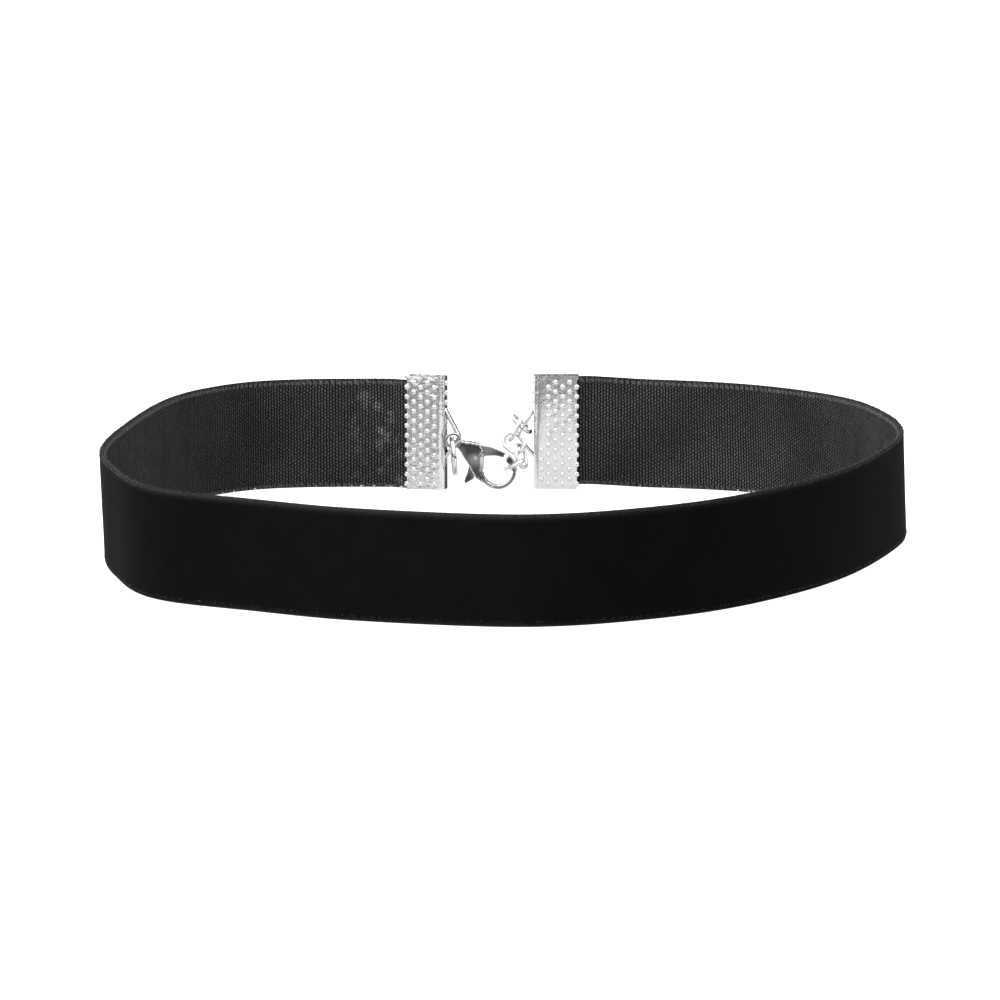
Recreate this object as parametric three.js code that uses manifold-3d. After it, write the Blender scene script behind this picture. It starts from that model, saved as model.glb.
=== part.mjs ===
// Velvet ribbon choker with crimped ends, a jump ring, a lobster clasp and a short chain end.
// Millimetres, +Z up. The choker stands on the ribbon's lower edge, with its clasp at the back (+Y).

import * as THREE from 'three';
import { mergeVertices } from 'three/addons/utils/BufferGeometryUtils.js';
import Module from 'manifold-3d';

const wasm = await Module();
wasm.setup();

// Ribbon
const ribbonWidth = 10;
const ribbonThickness = 1.1;
const ribbonEdgeChamfer = 0.2;
const pinchedThickness = 0.8;
const pinchLength = 1.5;
const straightEnd = 4.0;
const loopHalfWidth = 36.15;
const loopHalfDepth = 50.9;
const sectionSpacing = 2.4;

// Crimps
const leftCrimpLength = 3.5;
const rightCrimpLength = 4.0;
const crimpRise = 0.5;
const crimpHeight = ribbonWidth + crimpRise;
const plateThickness = 0.35;
const spineBendRadius = 0.5;
const clothClearance = 0.25;
const ribbonEndClearance = 0.35;
const closureGap = 8.07;
const dotRadius = 0.24;
const dotRise = 0.16;
const dotEmbed = 0.06;
const dotRowPitch = 0.9;
const dotColumnPitch = 0.654;
const foldMargin = 0.8;
const toothRadius = 0.25;
const toothThickness = 0.28;
const rightRibbonLift = 0.35;
const liftLength = 7;

// Strap loops lanced out of the spines
const leftStrapReach = 1.35;
const rightStrapReach = 1.52;
const strapWidth = 0.8;
const strapThickness = 0.3;
const strapTop = 7.5;
const strapPeak = 4.9;
const strapBottom = 2.9;
const slotClearance = 0.12;
const strapShoulderRise = 0.27;
const strapUpperShoulder = 0.65;
const strapLowerShoulder = 0.62;

// Jump ring and chain
const ringRadius = 1.62;
const ringWireRadius = 0.225;
const ringSlit = 0.1;
const linkHalfLength = 1.1;
const linkHalfWidth = 0.78;
const linkWireRadius = 0.2;

// Lobster clasp
const claspHoleRadius = 1.35;
const claspArmWidth = 0.4;
const claspNoseWidth = 0.65;
const claspThickness = 1.3;
const claspArmThickness = 0.9;
const claspReach = 4.95;
const claspRise = 0.48;
const eyeBoreRadius = 0.5;
const eyeWall = 0.26;
const eyeThickness = 0.4;
const leverThickness = 0.42;
const leverSideClearance = 0.12;
const leverEdgeClearance = 0.13;
const leverTravel = 16;
const leverHubRadius = 0.55;
const rivetRadius = 0.24;
const rivetClearance = 0.12;
const claspTilt = 28;

// The loop's centre line seen from above, from the left crimp round the front to the right crimp.
// across and deep are shares of the half width and the half depth.
// lean is how far the lower edge stands outside the upper edge, as a share of the ribbon's width.
const loopRows = [
  { across: -0.515, deep: 0.989, lean: 0.0 },
  { across: -0.636, deep: 0.954, lean: 0.0 },
  { across: -0.747, deep: 0.861, lean: 0.0 },
  { across: -0.835, deep: 0.72, lean: -0.01 },
  { across: -0.946, deep: 0.304, lean: -0.03 },
  { across: -0.996, deep: -0.052, lean: -0.05 },
  { across: -0.968, deep: -0.296, lean: -0.04 },
  { across: -0.852, deep: -0.624, lean: -0.01 },
  { across: -0.611, deep: -0.783, lean: 0.0 },
  { across: -0.373, deep: -0.91, lean: 0.0 },
  { across: 0.0, deep: -1.0, lean: 0.0 },
  { across: 0.152, deep: -0.985, lean: 0.0 },
  { across: 0.329, deep: -0.909, lean: 0.0 },
  { across: 0.512, deep: -0.781, lean: 0.0 },
  { across: 0.716, deep: -0.545, lean: -0.02 },
  { across: 0.858, deep: -0.294, lean: -0.04 },
  { across: 0.974, deep: 0.095, lean: -0.01 },
  { across: 0.988, deep: 0.254, lean: 0.03 },
  { across: 0.961, deep: 0.451, lean: 0.075 },
  { across: 0.877, deep: 0.679, lean: 0.09 },
  { across: 0.755, deep: 0.818, lean: 0.07 },
  { across: 0.581, deep: 0.928, lean: 0.04 },
  { across: 0.349, deep: 0.99, lean: 0.01 },
];

// Where each crimp's spine stands: deep is a share of the half depth, turn is in degrees.
const closureCentre = -0.037;
const leftSpine = { side: -1, deep: 0.9715, turn: -14 };
const rightSpine = { side: 1, deep: 0.987, turn: 180 };

// Heights of the dots in shares of their row pitch: the first of even and odd columns, and the margins
const firstDots = [0.55, 1.05];
const topMargin = 0.35;
const spineStart = 0.6;
const spineMargin = 0.3;

const plated = { color: 0xc9cacd, roughness: 0.2, metalness: 1.0 };
const velvet = { color: 0x0b0b0c, roughness: 1.0, metalness: 0.0 };

const bevelSkin = 0.02;
const degrees = THREE.MathUtils.degToRad;
const crimpDepth = pinchedThickness + 2 * (clothClearance + plateThickness);

// Solids and meshes

function solidOf(geometry) {
  const bare = geometry.clone();
  bare.deleteAttribute('normal');
  bare.deleteAttribute('uv');
  const merged = mergeVertices(bare, 1e-4);
  const vertProperties = new Float32Array(merged.getAttribute('position').array);
  const triVerts = new Uint32Array(merged.getIndex().array);
  return new wasm.Manifold(new wasm.Mesh({ numProp: 3, vertProperties, triVerts }));
}

function geometryOf(solid) {
  const { vertProperties, triVerts } = solid.getMesh();
  const geometry = new THREE.BufferGeometry();
  geometry.setAttribute('position', new THREE.BufferAttribute(vertProperties, 3));
  geometry.setIndex(new THREE.BufferAttribute(triVerts, 1));
  geometry.computeVertexNormals();
  return geometry;
}

function joined(geometries) {
  return geometries.map(solidOf).reduce((whole, piece) => whole.add(piece));
}

function piece(name, geometry, finish) {
  const mesh = new THREE.Mesh(geometry, new THREE.MeshStandardMaterial(finish));
  mesh.name = name;
  return mesh;
}

// A flat plate from an outline, centred on its own middle plane
function plate(shape, thickness, growth = 0, curveSegments = 10) {
  const skin = growth > 0 ? bevelSkin : 0;
  const geometry = new THREE.ExtrudeGeometry(shape, {
    depth: thickness - 2 * skin,
    bevelEnabled: growth > 0,
    bevelThickness: skin,
    bevelSize: 0,
    bevelOffset: growth,
    bevelSegments: 1,
    curveSegments,
  });
  return geometry.translate(0, 0, -thickness / 2 + skin);
}

function shapeOf(points) {
  return new THREE.Shape(points.map(([x, y]) => new THREE.Vector2(x, y)));
}

function smoothStep(share) {
  const t = THREE.MathUtils.clamp(share, 0, 1);
  return t * t * (3 - 2 * t);
}

// Crimps

function spinePlace({ side, deep, turn }) {
  const x = closureCentre * loopHalfWidth + side * closureGap / 2;
  const outward = new THREE.Vector2(Math.cos(degrees(turn)), Math.sin(degrees(turn)));
  return { x, y: deep * loopHalfDepth, turn, outward };
}

// The folded plate in plan: spine at x = 0, mouth at the far end, open to -x
function foldedOutline(length) {
  const half = crimpDepth / 2;
  const inner = half - plateThickness;
  const bend = Math.min(spineBendRadius, half);
  const shape = new THREE.Shape();
  shape.moveTo(-length, -half);
  shape.lineTo(-bend, -half);
  shape.absarc(-bend, -half + bend, bend, -Math.PI / 2, 0);
  shape.absarc(-bend, half - bend, bend, 0, Math.PI / 2);
  shape.lineTo(-length, half);
  shape.lineTo(-length, inner);
  shape.lineTo(-plateThickness, inner);
  shape.lineTo(-plateThickness, -inner);
  shape.lineTo(-length, -inner);
  return shape;
}

// The lanced strap in side view: x outward from the spine, y up
function strapOutline(reach) {
  const half = strapThickness / 2;
  const shoulder = (strapTop - strapPeak) * strapShoulderRise;
  const line = new THREE.SplineCurve([
    new THREE.Vector2(-half, strapTop),
    new THREE.Vector2(reach * strapUpperShoulder, strapPeak + shoulder),
    new THREE.Vector2(reach - half, strapPeak),
    new THREE.Vector2(reach * strapLowerShoulder, strapPeak - shoulder),
    new THREE.Vector2(-half, strapBottom),
  ]);
  const steps = 12;
  const outer = [];
  const inner = [];
  for (let i = 0; i <= steps; i += 1) {
    const at = line.getPointAt(i / steps);
    const along = line.getTangentAt(i / steps);
    outer.push(new THREE.Vector2(at.x - along.y * half, at.y + along.x * half));
    inner.push(new THREE.Vector2(at.x + along.y * half, at.y - along.x * half));
  }
  return new THREE.Shape([...outer, ...inner.reverse()]);
}

function dot(x, z, side) {
  const cone = new THREE.ConeGeometry(dotRadius, dotRise + dotEmbed, 6);
  cone.translate(0, (crimpDepth + dotRise - dotEmbed) / 2, 0);
  return cone.rotateX(side > 0 ? 0 : Math.PI).translate(x, 0, z);
}

// Columns of dots from the mouth to the fold; one that runs close to the fold stays under the strap
function plateDots(length, side) {
  const pieces = [];
  const columns = Math.floor((length - spineBendRadius) / dotColumnPitch);
  for (let column = 0; column <= columns; column += 1) {
    const x = -length + column * dotColumnPitch;
    const first = dotRowPitch * firstDots[column % 2];
    const top = crimpHeight - dotRowPitch * topMargin;
    const last = x > -foldMargin ? strapBottom + dotRowPitch : top;
    for (let z = first; z < last; z += dotRowPitch) {
      pieces.push(dot(x, z, side));
      if (column === 0) pieces.push(tooth(x, z, side));
    }
  }
  return pieces;
}

// A round tooth on the mouth's edge, within the plate's thickness
function tooth(x, z, side) {
  const disc = new THREE.CylinderGeometry(toothRadius, toothRadius, toothThickness, 8);
  return disc.translate(x, side * (crimpDepth - plateThickness) / 2, z);
}

function spineDots() {
  const pieces = [];
  const last = crimpHeight - dotRowPitch * spineMargin;
  for (let z = strapTop + dotRowPitch * spineStart; z < last; z += dotRowPitch) {
    const cone = new THREE.ConeGeometry(dotRadius, dotRise + dotEmbed, 6);
    pieces.push(cone.rotateZ(-Math.PI / 2).translate((dotRise - dotEmbed) / 2, 0, z));
  }
  return pieces;
}

function crimpGeometry(length, strapReach) {
  const fold = new THREE.ExtrudeGeometry(foldedOutline(length), {
    depth: crimpHeight,
    bevelEnabled: false,
    curveSegments: 4,
  });
  const slot = new THREE.BoxGeometry(
    plateThickness * 3,
    strapWidth + 2 * slotClearance,
    strapTop - strapBottom - strapThickness,
  );
  slot.translate(0, 0, (strapTop + strapBottom) / 2);
  const strap = plate(strapOutline(strapReach), strapWidth).rotateX(Math.PI / 2);
  const raised = [...plateDots(length, 1), ...plateDots(length, -1), ...spineDots()];
  const slotted = solidOf(fold).subtract(solidOf(slot));
  return geometryOf(joined([strap, ...raised]).add(slotted));
}

function crimp(name, spine, length, strapReach) {
  const mesh = piece(name, crimpGeometry(length, strapReach), plated);
  const { x, y, turn } = spinePlace(spine);
  mesh.position.set(x, y, 0);
  mesh.rotation.z = degrees(turn);
  return mesh;
}

// Ribbon

// Plan points of one end, from the cut end inside the crimp to a lead-in outside its mouth
function endPoints(spine) {
  const { x, y, outward } = spinePlace(spine);
  const distances = [
    plateThickness + ribbonEndClearance,
    straightEnd / 2,
    straightEnd,
    straightEnd + pinchLength,
  ];
  return distances.map((d) => new THREE.Vector3(x - outward.x * d, y - outward.y * d, 0));
}

// The centre line; its third coordinate carries the lean
function loopCurve() {
  const rows = loopRows.map(
    (row) =>
      new THREE.Vector3(
        row.across * loopHalfWidth,
        row.deep * loopHalfDepth,
        row.lean * ribbonWidth,
      ),
  );
  const points = [...endPoints(leftSpine), ...rows, ...endPoints(rightSpine).reverse()];
  const curve = new THREE.CatmullRomCurve3(points, false, 'centripetal');
  curve.arcLengthDivisions = 1200;
  return curve;
}

// Section in side view: x is the thickness, y the ribbon's width, standing on y = 0
function ribbonSection() {
  const half = ribbonThickness / 2;
  const cut = ribbonEdgeChamfer;
  return shapeOf([
    [-half + cut, 0],
    [half - cut, 0],
    [half, cut],
    [half, ribbonWidth - cut],
    [half - cut, ribbonWidth],
    [-half + cut, ribbonWidth],
    [-half, ribbonWidth - cut],
    [-half, cut],
  ]);
}

function ribbonGeometry() {
  const curve = loopCurve();
  const length = curve.getLength();
  const steps = Math.round(length / sectionSpacing);
  const geometry = new THREE.ExtrudeGeometry(ribbonSection(), {
    depth: 1,
    steps,
    bevelEnabled: false,
  });
  const heldLength = straightEnd - plateThickness - ribbonEndClearance;
  const position = geometry.getAttribute('position');
  const corner = new THREE.Vector3();
  for (let i = 0; i < position.count; i += 1) {
    corner.fromBufferAttribute(position, i);
    const share = THREE.MathUtils.clamp(corner.z, 0, 1);
    const at = curve.getPointAt(share);
    const along = curve.getTangentAt(share);
    const outward = new THREE.Vector2(along.y, -along.x).normalize();
    const fromEnd = Math.min(share, 1 - share) * length;
    const opened = smoothStep((fromEnd - heldLength) / pinchLength);
    const thinned = THREE.MathUtils.lerp(pinchedThickness / ribbonThickness, 1, opened);
    const fromRight = (1 - share) * length - heldLength;
    const lift = rightRibbonLift * (1 - smoothStep(fromRight / liftLength));
    const offset = at.z * (1 - corner.y / ribbonWidth) - corner.x * thinned;
    position.setXYZ(i, at.x + outward.x * offset, at.y + outward.y * offset, corner.y + lift);
  }
  return geometry;
}

// Jump ring and links

// A ring cut once, as a jump ring is
class SlitRing extends THREE.Curve {
  getPoint(t, target = new THREE.Vector3()) {
    const cut = ringSlit / ringRadius;
    const angle = cut / 2 + t * (2 * Math.PI - cut);
    return target.set(Math.cos(angle) * ringRadius, Math.sin(angle) * ringRadius, 0);
  }
}

// A closed oval: two half circles joined by straight sides
class Oval extends THREE.Curve {
  getPoint(t, target = new THREE.Vector3()) {
    const straight = 2 * (linkHalfLength - linkHalfWidth);
    const bend = Math.PI * linkHalfWidth;
    let run = (t - Math.floor(t)) * 2 * (straight + bend);
    const flip = run >= straight + bend ? -1 : 1;
    run -= flip < 0 ? straight + bend : 0;
    if (run < straight) {
      return target.set(flip * (run - straight / 2), -flip * linkHalfWidth, 0);
    }
    const angle = (run - straight) / linkHalfWidth - Math.PI / 2;
    const x = straight / 2 + Math.cos(angle) * linkHalfWidth;
    return target.set(flip * x, flip * Math.sin(angle) * linkHalfWidth, 0);
  }
}

function ringGeometry() {
  const section = new THREE.Shape().absarc(0, 0, ringWireRadius, 0, 2 * Math.PI);
  return new THREE.ExtrudeGeometry(section, {
    steps: 24,
    extrudePath: new SlitRing(),
    curveSegments: 3,
    bevelEnabled: false,
  });
}

// Turns a piece so that its x axis and its y axis take the given directions
function aim(object, along, across) {
  const x = new THREE.Vector3(...along).normalize();
  const z = new THREE.Vector3().crossVectors(x, new THREE.Vector3(...across)).normalize();
  const y = new THREE.Vector3().crossVectors(z, x);
  object.quaternion.setFromRotationMatrix(new THREE.Matrix4().makeBasis(x, y, z));
}

function linkGeometry() {
  return new THREE.TubeGeometry(new Oval(), 20, linkWireRadius, 6, true);
}

// Lobster clasp, in its own plane: origin at the hole's centre, +x to the nose, +y to the gate

const eyeCentre = [-claspReach, claspRise];
const pivot = [-claspReach * 0.485, claspHoleRadius * 0.04];
const outerRadius = claspHoleRadius + claspArmWidth;

// The shoulder's rim; along is a share of the reach, across a share of the hole's radius.
const shoulderTop = [
  { along: -0.88, across: 0.6 },
  { along: -0.72, across: 0.84 },
  { along: -0.53, across: 1.04 },
];
const shoulderFront = [
  { along: -0.42, across: 0.72 },
  { along: -0.325, across: 0.25 },
];
const shoulderBottom = [
  { along: -0.31, across: -1.17 },
  { along: -0.56, across: -0.56 },
  { along: -0.88, across: 0.1 },
];

function rimPoint({ along, across }) {
  return [along * claspReach, across * claspHoleRadius];
}

function polar(radius, angle) {
  return [radius * Math.cos(degrees(angle)), radius * Math.sin(degrees(angle))];
}

function arc(radius, from, to, steps) {
  const points = [];
  for (let i = 0; i <= steps; i += 1) {
    points.push(polar(radius, from + ((to - from) * i) / steps));
  }
  return points;
}

// Angles round the hole: the shoulder's hollow, the hook's root, and the nose from start to tip
const shoulderStart = -170;
const shoulderEnd = -84;
const hookRoot = -108;
const noseStart = 20;
const noseTip = 84;
const noseBevel = 8;

// The nose's inner rim: depth is a share of the nose's width
const noseRim = [
  { depth: 0.9, angle: (noseStart + noseTip) / 2 },
  { depth: 1.0, angle: noseTip - noseBevel },
  { depth: 0.8, angle: noseTip },
];

// The hook's band from the shoulder round to the nose
function hookOutline() {
  const inner = arc(claspHoleRadius, hookRoot, noseStart, 12);
  const nose = noseRim.map(({ depth, angle }) => polar(outerRadius - claspNoseWidth * depth, angle));
  const outer = arc(outerRadius, noseTip, hookRoot, 14);
  return shapeOf([...inner, ...nose, ...outer]);
}

// The thick shoulder between the eye and the hook, hollowed by the hole
function shoulderOutline() {
  const inner = arc(claspHoleRadius, shoulderStart, shoulderEnd, 5);
  const outer = arc(outerRadius, shoulderEnd, hookRoot, 3);
  return shapeOf([
    ...shoulderTop.map(rimPoint),
    ...shoulderFront.map(rimPoint),
    ...inner,
    ...outer,
    ...shoulderBottom.map(rimPoint),
  ]);
}

function eyeOutline() {
  const [x, y] = eyeCentre;
  const shape = new THREE.Shape().absarc(x, y, eyeBoreRadius + eyeWall, 0, 2 * Math.PI);
  shape.holes.push(new THREE.Path().absarc(x, y, eyeBoreRadius, 0, 2 * Math.PI));
  return shape;
}

function circleOutline(radius) {
  return new THREE.Shape().absarc(pivot[0], pivot[1], radius, 0, 2 * Math.PI);
}

// The lever's rim, in the same shares: the gate's underside and top, and the thumb tab from the hub downwards
const gateUnder = [
  { along: -0.552, across: 0.04 },
  { along: -0.418, across: -0.164 },
  { along: -0.335, across: 0.438 },
  { along: -0.169, across: 0.8 },
];
const gateTop = [
  { along: -0.327, across: 1.2 },
  { along: -0.529, across: 0.966 },
  { along: -0.529, across: 0.855 },
];
const tabRim = [
  { along: -0.585, across: -0.034 },
  { along: -0.496, across: -1.005 },
  { along: -0.481, across: -1.385 },
  { along: -0.469, across: -1.765 },
  { along: -0.42, across: -1.86 },
  { along: -0.319, across: -1.29 },
  { along: -0.344, across: -0.91 },
  { along: -0.385, across: -0.034 },
];

// The gate's tip, a little past the nose's end, in the nose rim's measures
const gateTip = [
  { depth: 0.72, angle: noseTip + 9 },
  { depth: 0.0, angle: noseTip + 11 },
];

function gateOutline() {
  const tip = gateTip.map(({ depth, angle }) => polar(outerRadius - claspNoseWidth * depth, angle));
  return shapeOf([...gateUnder.map(rimPoint), ...tip, ...gateTop.map(rimPoint)]);
}

function tabOutline() {
  return shapeOf(tabRim.map(rimPoint));
}

function leverPlates(thickness, growth) {
  return [
    plate(circleOutline(leverHubRadius), thickness, growth, 6),
    plate(gateOutline(), thickness, growth),
    plate(tabOutline(), thickness, growth),
  ];
}

function rivetBore() {
  return solidOf(plate(circleOutline(rivetRadius + rivetClearance), claspThickness * 2, 0, 6));
}

function turnedAboutPivot(geometry, angle) {
  return geometry
    .translate(-pivot[0], -pivot[1], 0)
    .rotateZ(degrees(angle))
    .translate(pivot[0], pivot[1], 0);
}

// Everything that the lever sweeps through the body, with its clearances
function leverSweep() {
  const slotThickness = leverThickness + 2 * leverSideClearance;
  const turns = [];
  const step = 5;
  for (let angle = 0; angle <= leverTravel; angle += step) {
    const plates = leverPlates(slotThickness, leverEdgeClearance);
    turns.push(...plates.map((geometry) => turnedAboutPivot(geometry, -angle)));
  }
  return joined(turns);
}

function claspBodyGeometry() {
  const body = joined([
    plate(shoulderOutline(), claspThickness),
    plate(hookOutline(), claspArmThickness),
    plate(eyeOutline(), eyeThickness, 0, 8),
  ]);
  return geometryOf(body.subtract(leverSweep()).subtract(rivetBore()));
}

function claspLeverGeometry() {
  return geometryOf(joined(leverPlates(leverThickness, 0)).subtract(rivetBore()));
}

function rivetGeometry() {
  return plate(circleOutline(rivetRadius), claspThickness, 0, 6);
}

// Places of the small fittings, measured from the spine that each one hangs at

const ringPlace = { centre: [0.668, -0.571, 3.175], normal: [0.994, 0.058, 0.088] };
const eyePlace = [0.658, -1.195, 4.628];

// Chain links from the strap to the clasp's hook: the long axis points along, the short one across.
const linkPlaces = [
  { centre: [-1.12, 0.07, 5.94], along: [0.7, -0.3, -0.64], across: [0.35, 0.94, -0.06] },
  { centre: [-1.67, -0.66, 5.51], along: [-0.44, -0.14, -0.89], across: [0.1, -0.99, 0.1] },
  { centre: [-1.79, -1.1, 4.31], along: [0.73, -0.48, -0.49], across: [-0.59, -0.09, -0.8] },
  { centre: [-1.157, -1.578, 3.128], along: [0.19, -0.39, -0.9], across: [0.53, 0.81, -0.24] },
  { centre: [-1.792, -2.143, 2.42], along: [-0.5, 0.83, -0.25], across: [0.73, 0.56, 0.4] },
];

function clasp() {
  const flat = new THREE.Group();
  flat.rotation.x = Math.PI / 2;
  flat.add(piece('clasp_body', claspBodyGeometry(), plated));
  flat.add(piece('clasp_lever', claspLeverGeometry(), plated));
  flat.add(piece('clasp_rivet', rivetGeometry(), plated));
  for (const part of flat.children) part.position.set(-eyeCentre[0], -eyeCentre[1], 0);
  const tilted = new THREE.Group();
  tilted.rotation.y = degrees(claspTilt);
  tilted.add(flat);
  const { x, y } = spinePlace(leftSpine);
  tilted.position.set(x + eyePlace[0], y + eyePlace[1], eyePlace[2]);
  return tilted;
}

function jumpRing() {
  const mesh = piece('jump_ring', ringGeometry(), plated);
  const { x, y } = spinePlace(leftSpine);
  const [dx, dy, z] = ringPlace.centre;
  mesh.position.set(x + dx, y + dy, z);
  const normal = new THREE.Vector3(...ringPlace.normal);
  mesh.quaternion.setFromUnitVectors(new THREE.Vector3(0, 0, 1), normal.normalize());
  return mesh;
}

function extensionLink(row, index) {
  const mesh = piece(`extension_link_${index + 1}`, linkGeometry(), plated);
  const { x, y } = spinePlace(rightSpine);
  const [dx, dy, z] = row.centre;
  mesh.position.set(x + dx, y + dy, z);
  aim(mesh, row.along, row.across);
  return mesh;
}

// Stands the group on z = 0 with the middle of its bounding box over the origin
function centred(group) {
  const box = new THREE.Box3().setFromObject(group, true);
  const middle = box.getCenter(new THREE.Vector3());
  group.position.set(-middle.x, -middle.y, -box.min.z);
  return group;
}

const choker = new THREE.Group();
choker.add(piece('velvet_ribbon', ribbonGeometry(), velvet));
choker.add(crimp('crimp_left', leftSpine, leftCrimpLength, leftStrapReach));
choker.add(crimp('crimp_right', rightSpine, rightCrimpLength, rightStrapReach));
choker.add(jumpRing());
choker.add(clasp());
choker.add(...linkPlaces.map(extensionLink));

export default centred(choker);
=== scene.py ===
"""Velvet ribbon choker: velvet, weave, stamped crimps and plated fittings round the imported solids."""

import math
from collections import namedtuple

import bmesh
import bpy
import numpy as np
from bpy.props import FloatProperty, FloatVectorProperty, IntProperty, PointerProperty
from mathutils import Matrix, Vector


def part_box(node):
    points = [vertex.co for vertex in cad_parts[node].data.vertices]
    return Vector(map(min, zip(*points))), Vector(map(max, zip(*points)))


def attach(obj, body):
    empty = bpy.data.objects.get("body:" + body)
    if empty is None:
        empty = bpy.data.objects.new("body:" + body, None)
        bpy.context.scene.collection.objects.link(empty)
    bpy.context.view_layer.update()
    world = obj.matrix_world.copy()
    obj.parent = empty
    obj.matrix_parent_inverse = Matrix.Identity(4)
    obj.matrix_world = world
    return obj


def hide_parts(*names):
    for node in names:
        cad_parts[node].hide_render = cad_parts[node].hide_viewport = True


bl_info = {
    "name": "Velvet ribbon choker",
    "version": (1, 0, 0),
    "blender": (4, 5, 0),
    "location": "3D View > Sidebar > Choker",
    "description": "Builds the velvet, the stamped crimps and the plated fittings of a choker",
    "category": "Object",
}

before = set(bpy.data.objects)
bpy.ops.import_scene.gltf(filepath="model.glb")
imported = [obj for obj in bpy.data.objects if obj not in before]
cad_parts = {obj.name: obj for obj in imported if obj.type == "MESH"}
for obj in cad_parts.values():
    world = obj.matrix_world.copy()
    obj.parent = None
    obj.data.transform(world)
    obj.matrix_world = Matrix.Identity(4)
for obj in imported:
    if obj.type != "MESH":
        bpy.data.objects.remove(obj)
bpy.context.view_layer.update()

MM = 0.001
BODY = "choker"
LEVER_BODY = "lever"

# The ribbon's centre line from above, from the left crimp round the front to the right crimp.
# across and deep are shares of the loop's half width and half depth.
# lean is how far the lower edge stands outside the upper edge, as a share of the ribbon's width.
Row = namedtuple("Row", "across deep lean")
LOOP_ROWS = [
    Row(-0.515, 0.989, 0.0),
    Row(-0.636, 0.954, 0.0),
    Row(-0.747, 0.861, 0.0),
    Row(-0.835, 0.72, -0.01),
    Row(-0.946, 0.304, -0.03),
    Row(-0.996, -0.052, -0.05),
    Row(-0.968, -0.296, -0.04),
    Row(-0.852, -0.624, -0.01),
    Row(-0.611, -0.783, 0.0),
    Row(-0.373, -0.91, 0.0),
    Row(0.0, -1.0, 0.0),
    Row(0.152, -0.985, 0.0),
    Row(0.329, -0.909, 0.0),
    Row(0.512, -0.781, 0.0),
    Row(0.716, -0.545, -0.02),
    Row(0.858, -0.294, -0.04),
    Row(0.974, 0.095, -0.01),
    Row(0.988, 0.254, 0.03),
    Row(0.961, 0.451, 0.075),
    Row(0.877, 0.679, 0.09),
    Row(0.755, 0.818, 0.07),
    Row(0.581, 0.928, 0.04),
    Row(0.349, 0.99, 0.01),
]

# Where each crimp's spine stands: deep is a share of the half depth, turn is in degrees, and reach is how far
# the strap stands out in mm.
Spine = namedtuple("Spine", "side deep turn reach node size")
# The middle of the gap between the crimps, as a share of the half width
CLOSURE_CENTRE = -0.037
LEFT_SPINE = Spine(-1, 0.9715, -14, 1.35, "crimp_left", "left_length")
RIGHT_SPINE = Spine(1, 0.987, 180, 1.52, "crimp_right", "right_length")

# The photograph's view, measured from the object's own frame
VIEW_AIM = Vector((-0.42, -0.504, 5.1)) * MM
VIEW_RISE = math.radians(7.0)
VIEW_DISTANCE = 2.18
VIEW_LENS = 868.6
VIEW_SENSOR = 36.0
VIEW_CLIP = (0.1, 60.0)


def length_property(name, description, default, smallest=0.0):
    return FloatProperty(name=name, description=description, default=default, min=smallest,
                         unit="LENGTH", precision=5)


def colour_property(name, description, default):
    return FloatVectorProperty(name=name, description=description, default=default, size=3,
                               min=0.0, max=1.0, subtype="COLOR")


class RibbonSizes(bpy.types.PropertyGroup):
    """Sizes of the velvet ribbon"""
    width: length_property("Width", "Width of the ribbon", 10 * MM)
    half_width: length_property("Loop half width", "Half of the loop's width", 36.15 * MM)
    half_depth: length_property("Loop half depth", "Half of the loop's depth", 50.9 * MM)
    thickness: length_property("Thickness", "Backing and pile together", 1.1 * MM)
    backing: length_property("Backing", "Thickness of the woven backing", 0.26 * MM)
    inset: length_property("Inset", "How far the backing lies outside the neck's own space", 0.58 * MM)
    straight_end: length_property("Straight end", "Length of each end that lies straight", 4.0 * MM)
    entry: length_property("Entry", "Length over which the ribbon leaves a crimp's middle", 1.5 * MM)
    crown: length_property("Crown", "How far the pile stands above the backing's edge", 0.08 * MM)
    hem: length_property("Hem", "How far the pile's lower rim lies above the backing's edge", 0.04 * MM)
    lift: length_property("Lift", "How far the right end is raised in its crimp", 0.35 * MM)
    lift_length: length_property("Lift length", "Length over which the right end rises", 7 * MM)
    end_clearance: length_property("End clearance", "Gap from the cut end to the crimp's fold", 0.35 * MM)
    # The rim is the band of the pile that is painted lighter: painted rim light.
    rim: length_property("Rim", "Height of the pile's lighter rim", 0.45 * MM)
    rib_pitch: length_property("Rib pitch", "Distance between the backing's ribs", 0.277 * MM)
    rib_height: length_property("Rib height", "Height of the backing's ribs", 0.016 * MM)
    loop_pitch: length_property("Loop pitch", "Distance between the selvedge's thread loops", 0.54 * MM)
    loop_size: length_property("Loop size", "Radius of a selvedge thread loop", 0.15 * MM)
    fibre_length: length_property("Fibre length", "Length of a pile fibre at the edges", 0.28 * MM)
    fibre_radius: length_property("Fibre radius", "Radius of a pile fibre at its root", 0.016 * MM)
    fibre_count: IntProperty(name="Fibres", description="Fibres along each line of an edge",
                             default=5200, min=0, max=20000)


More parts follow.
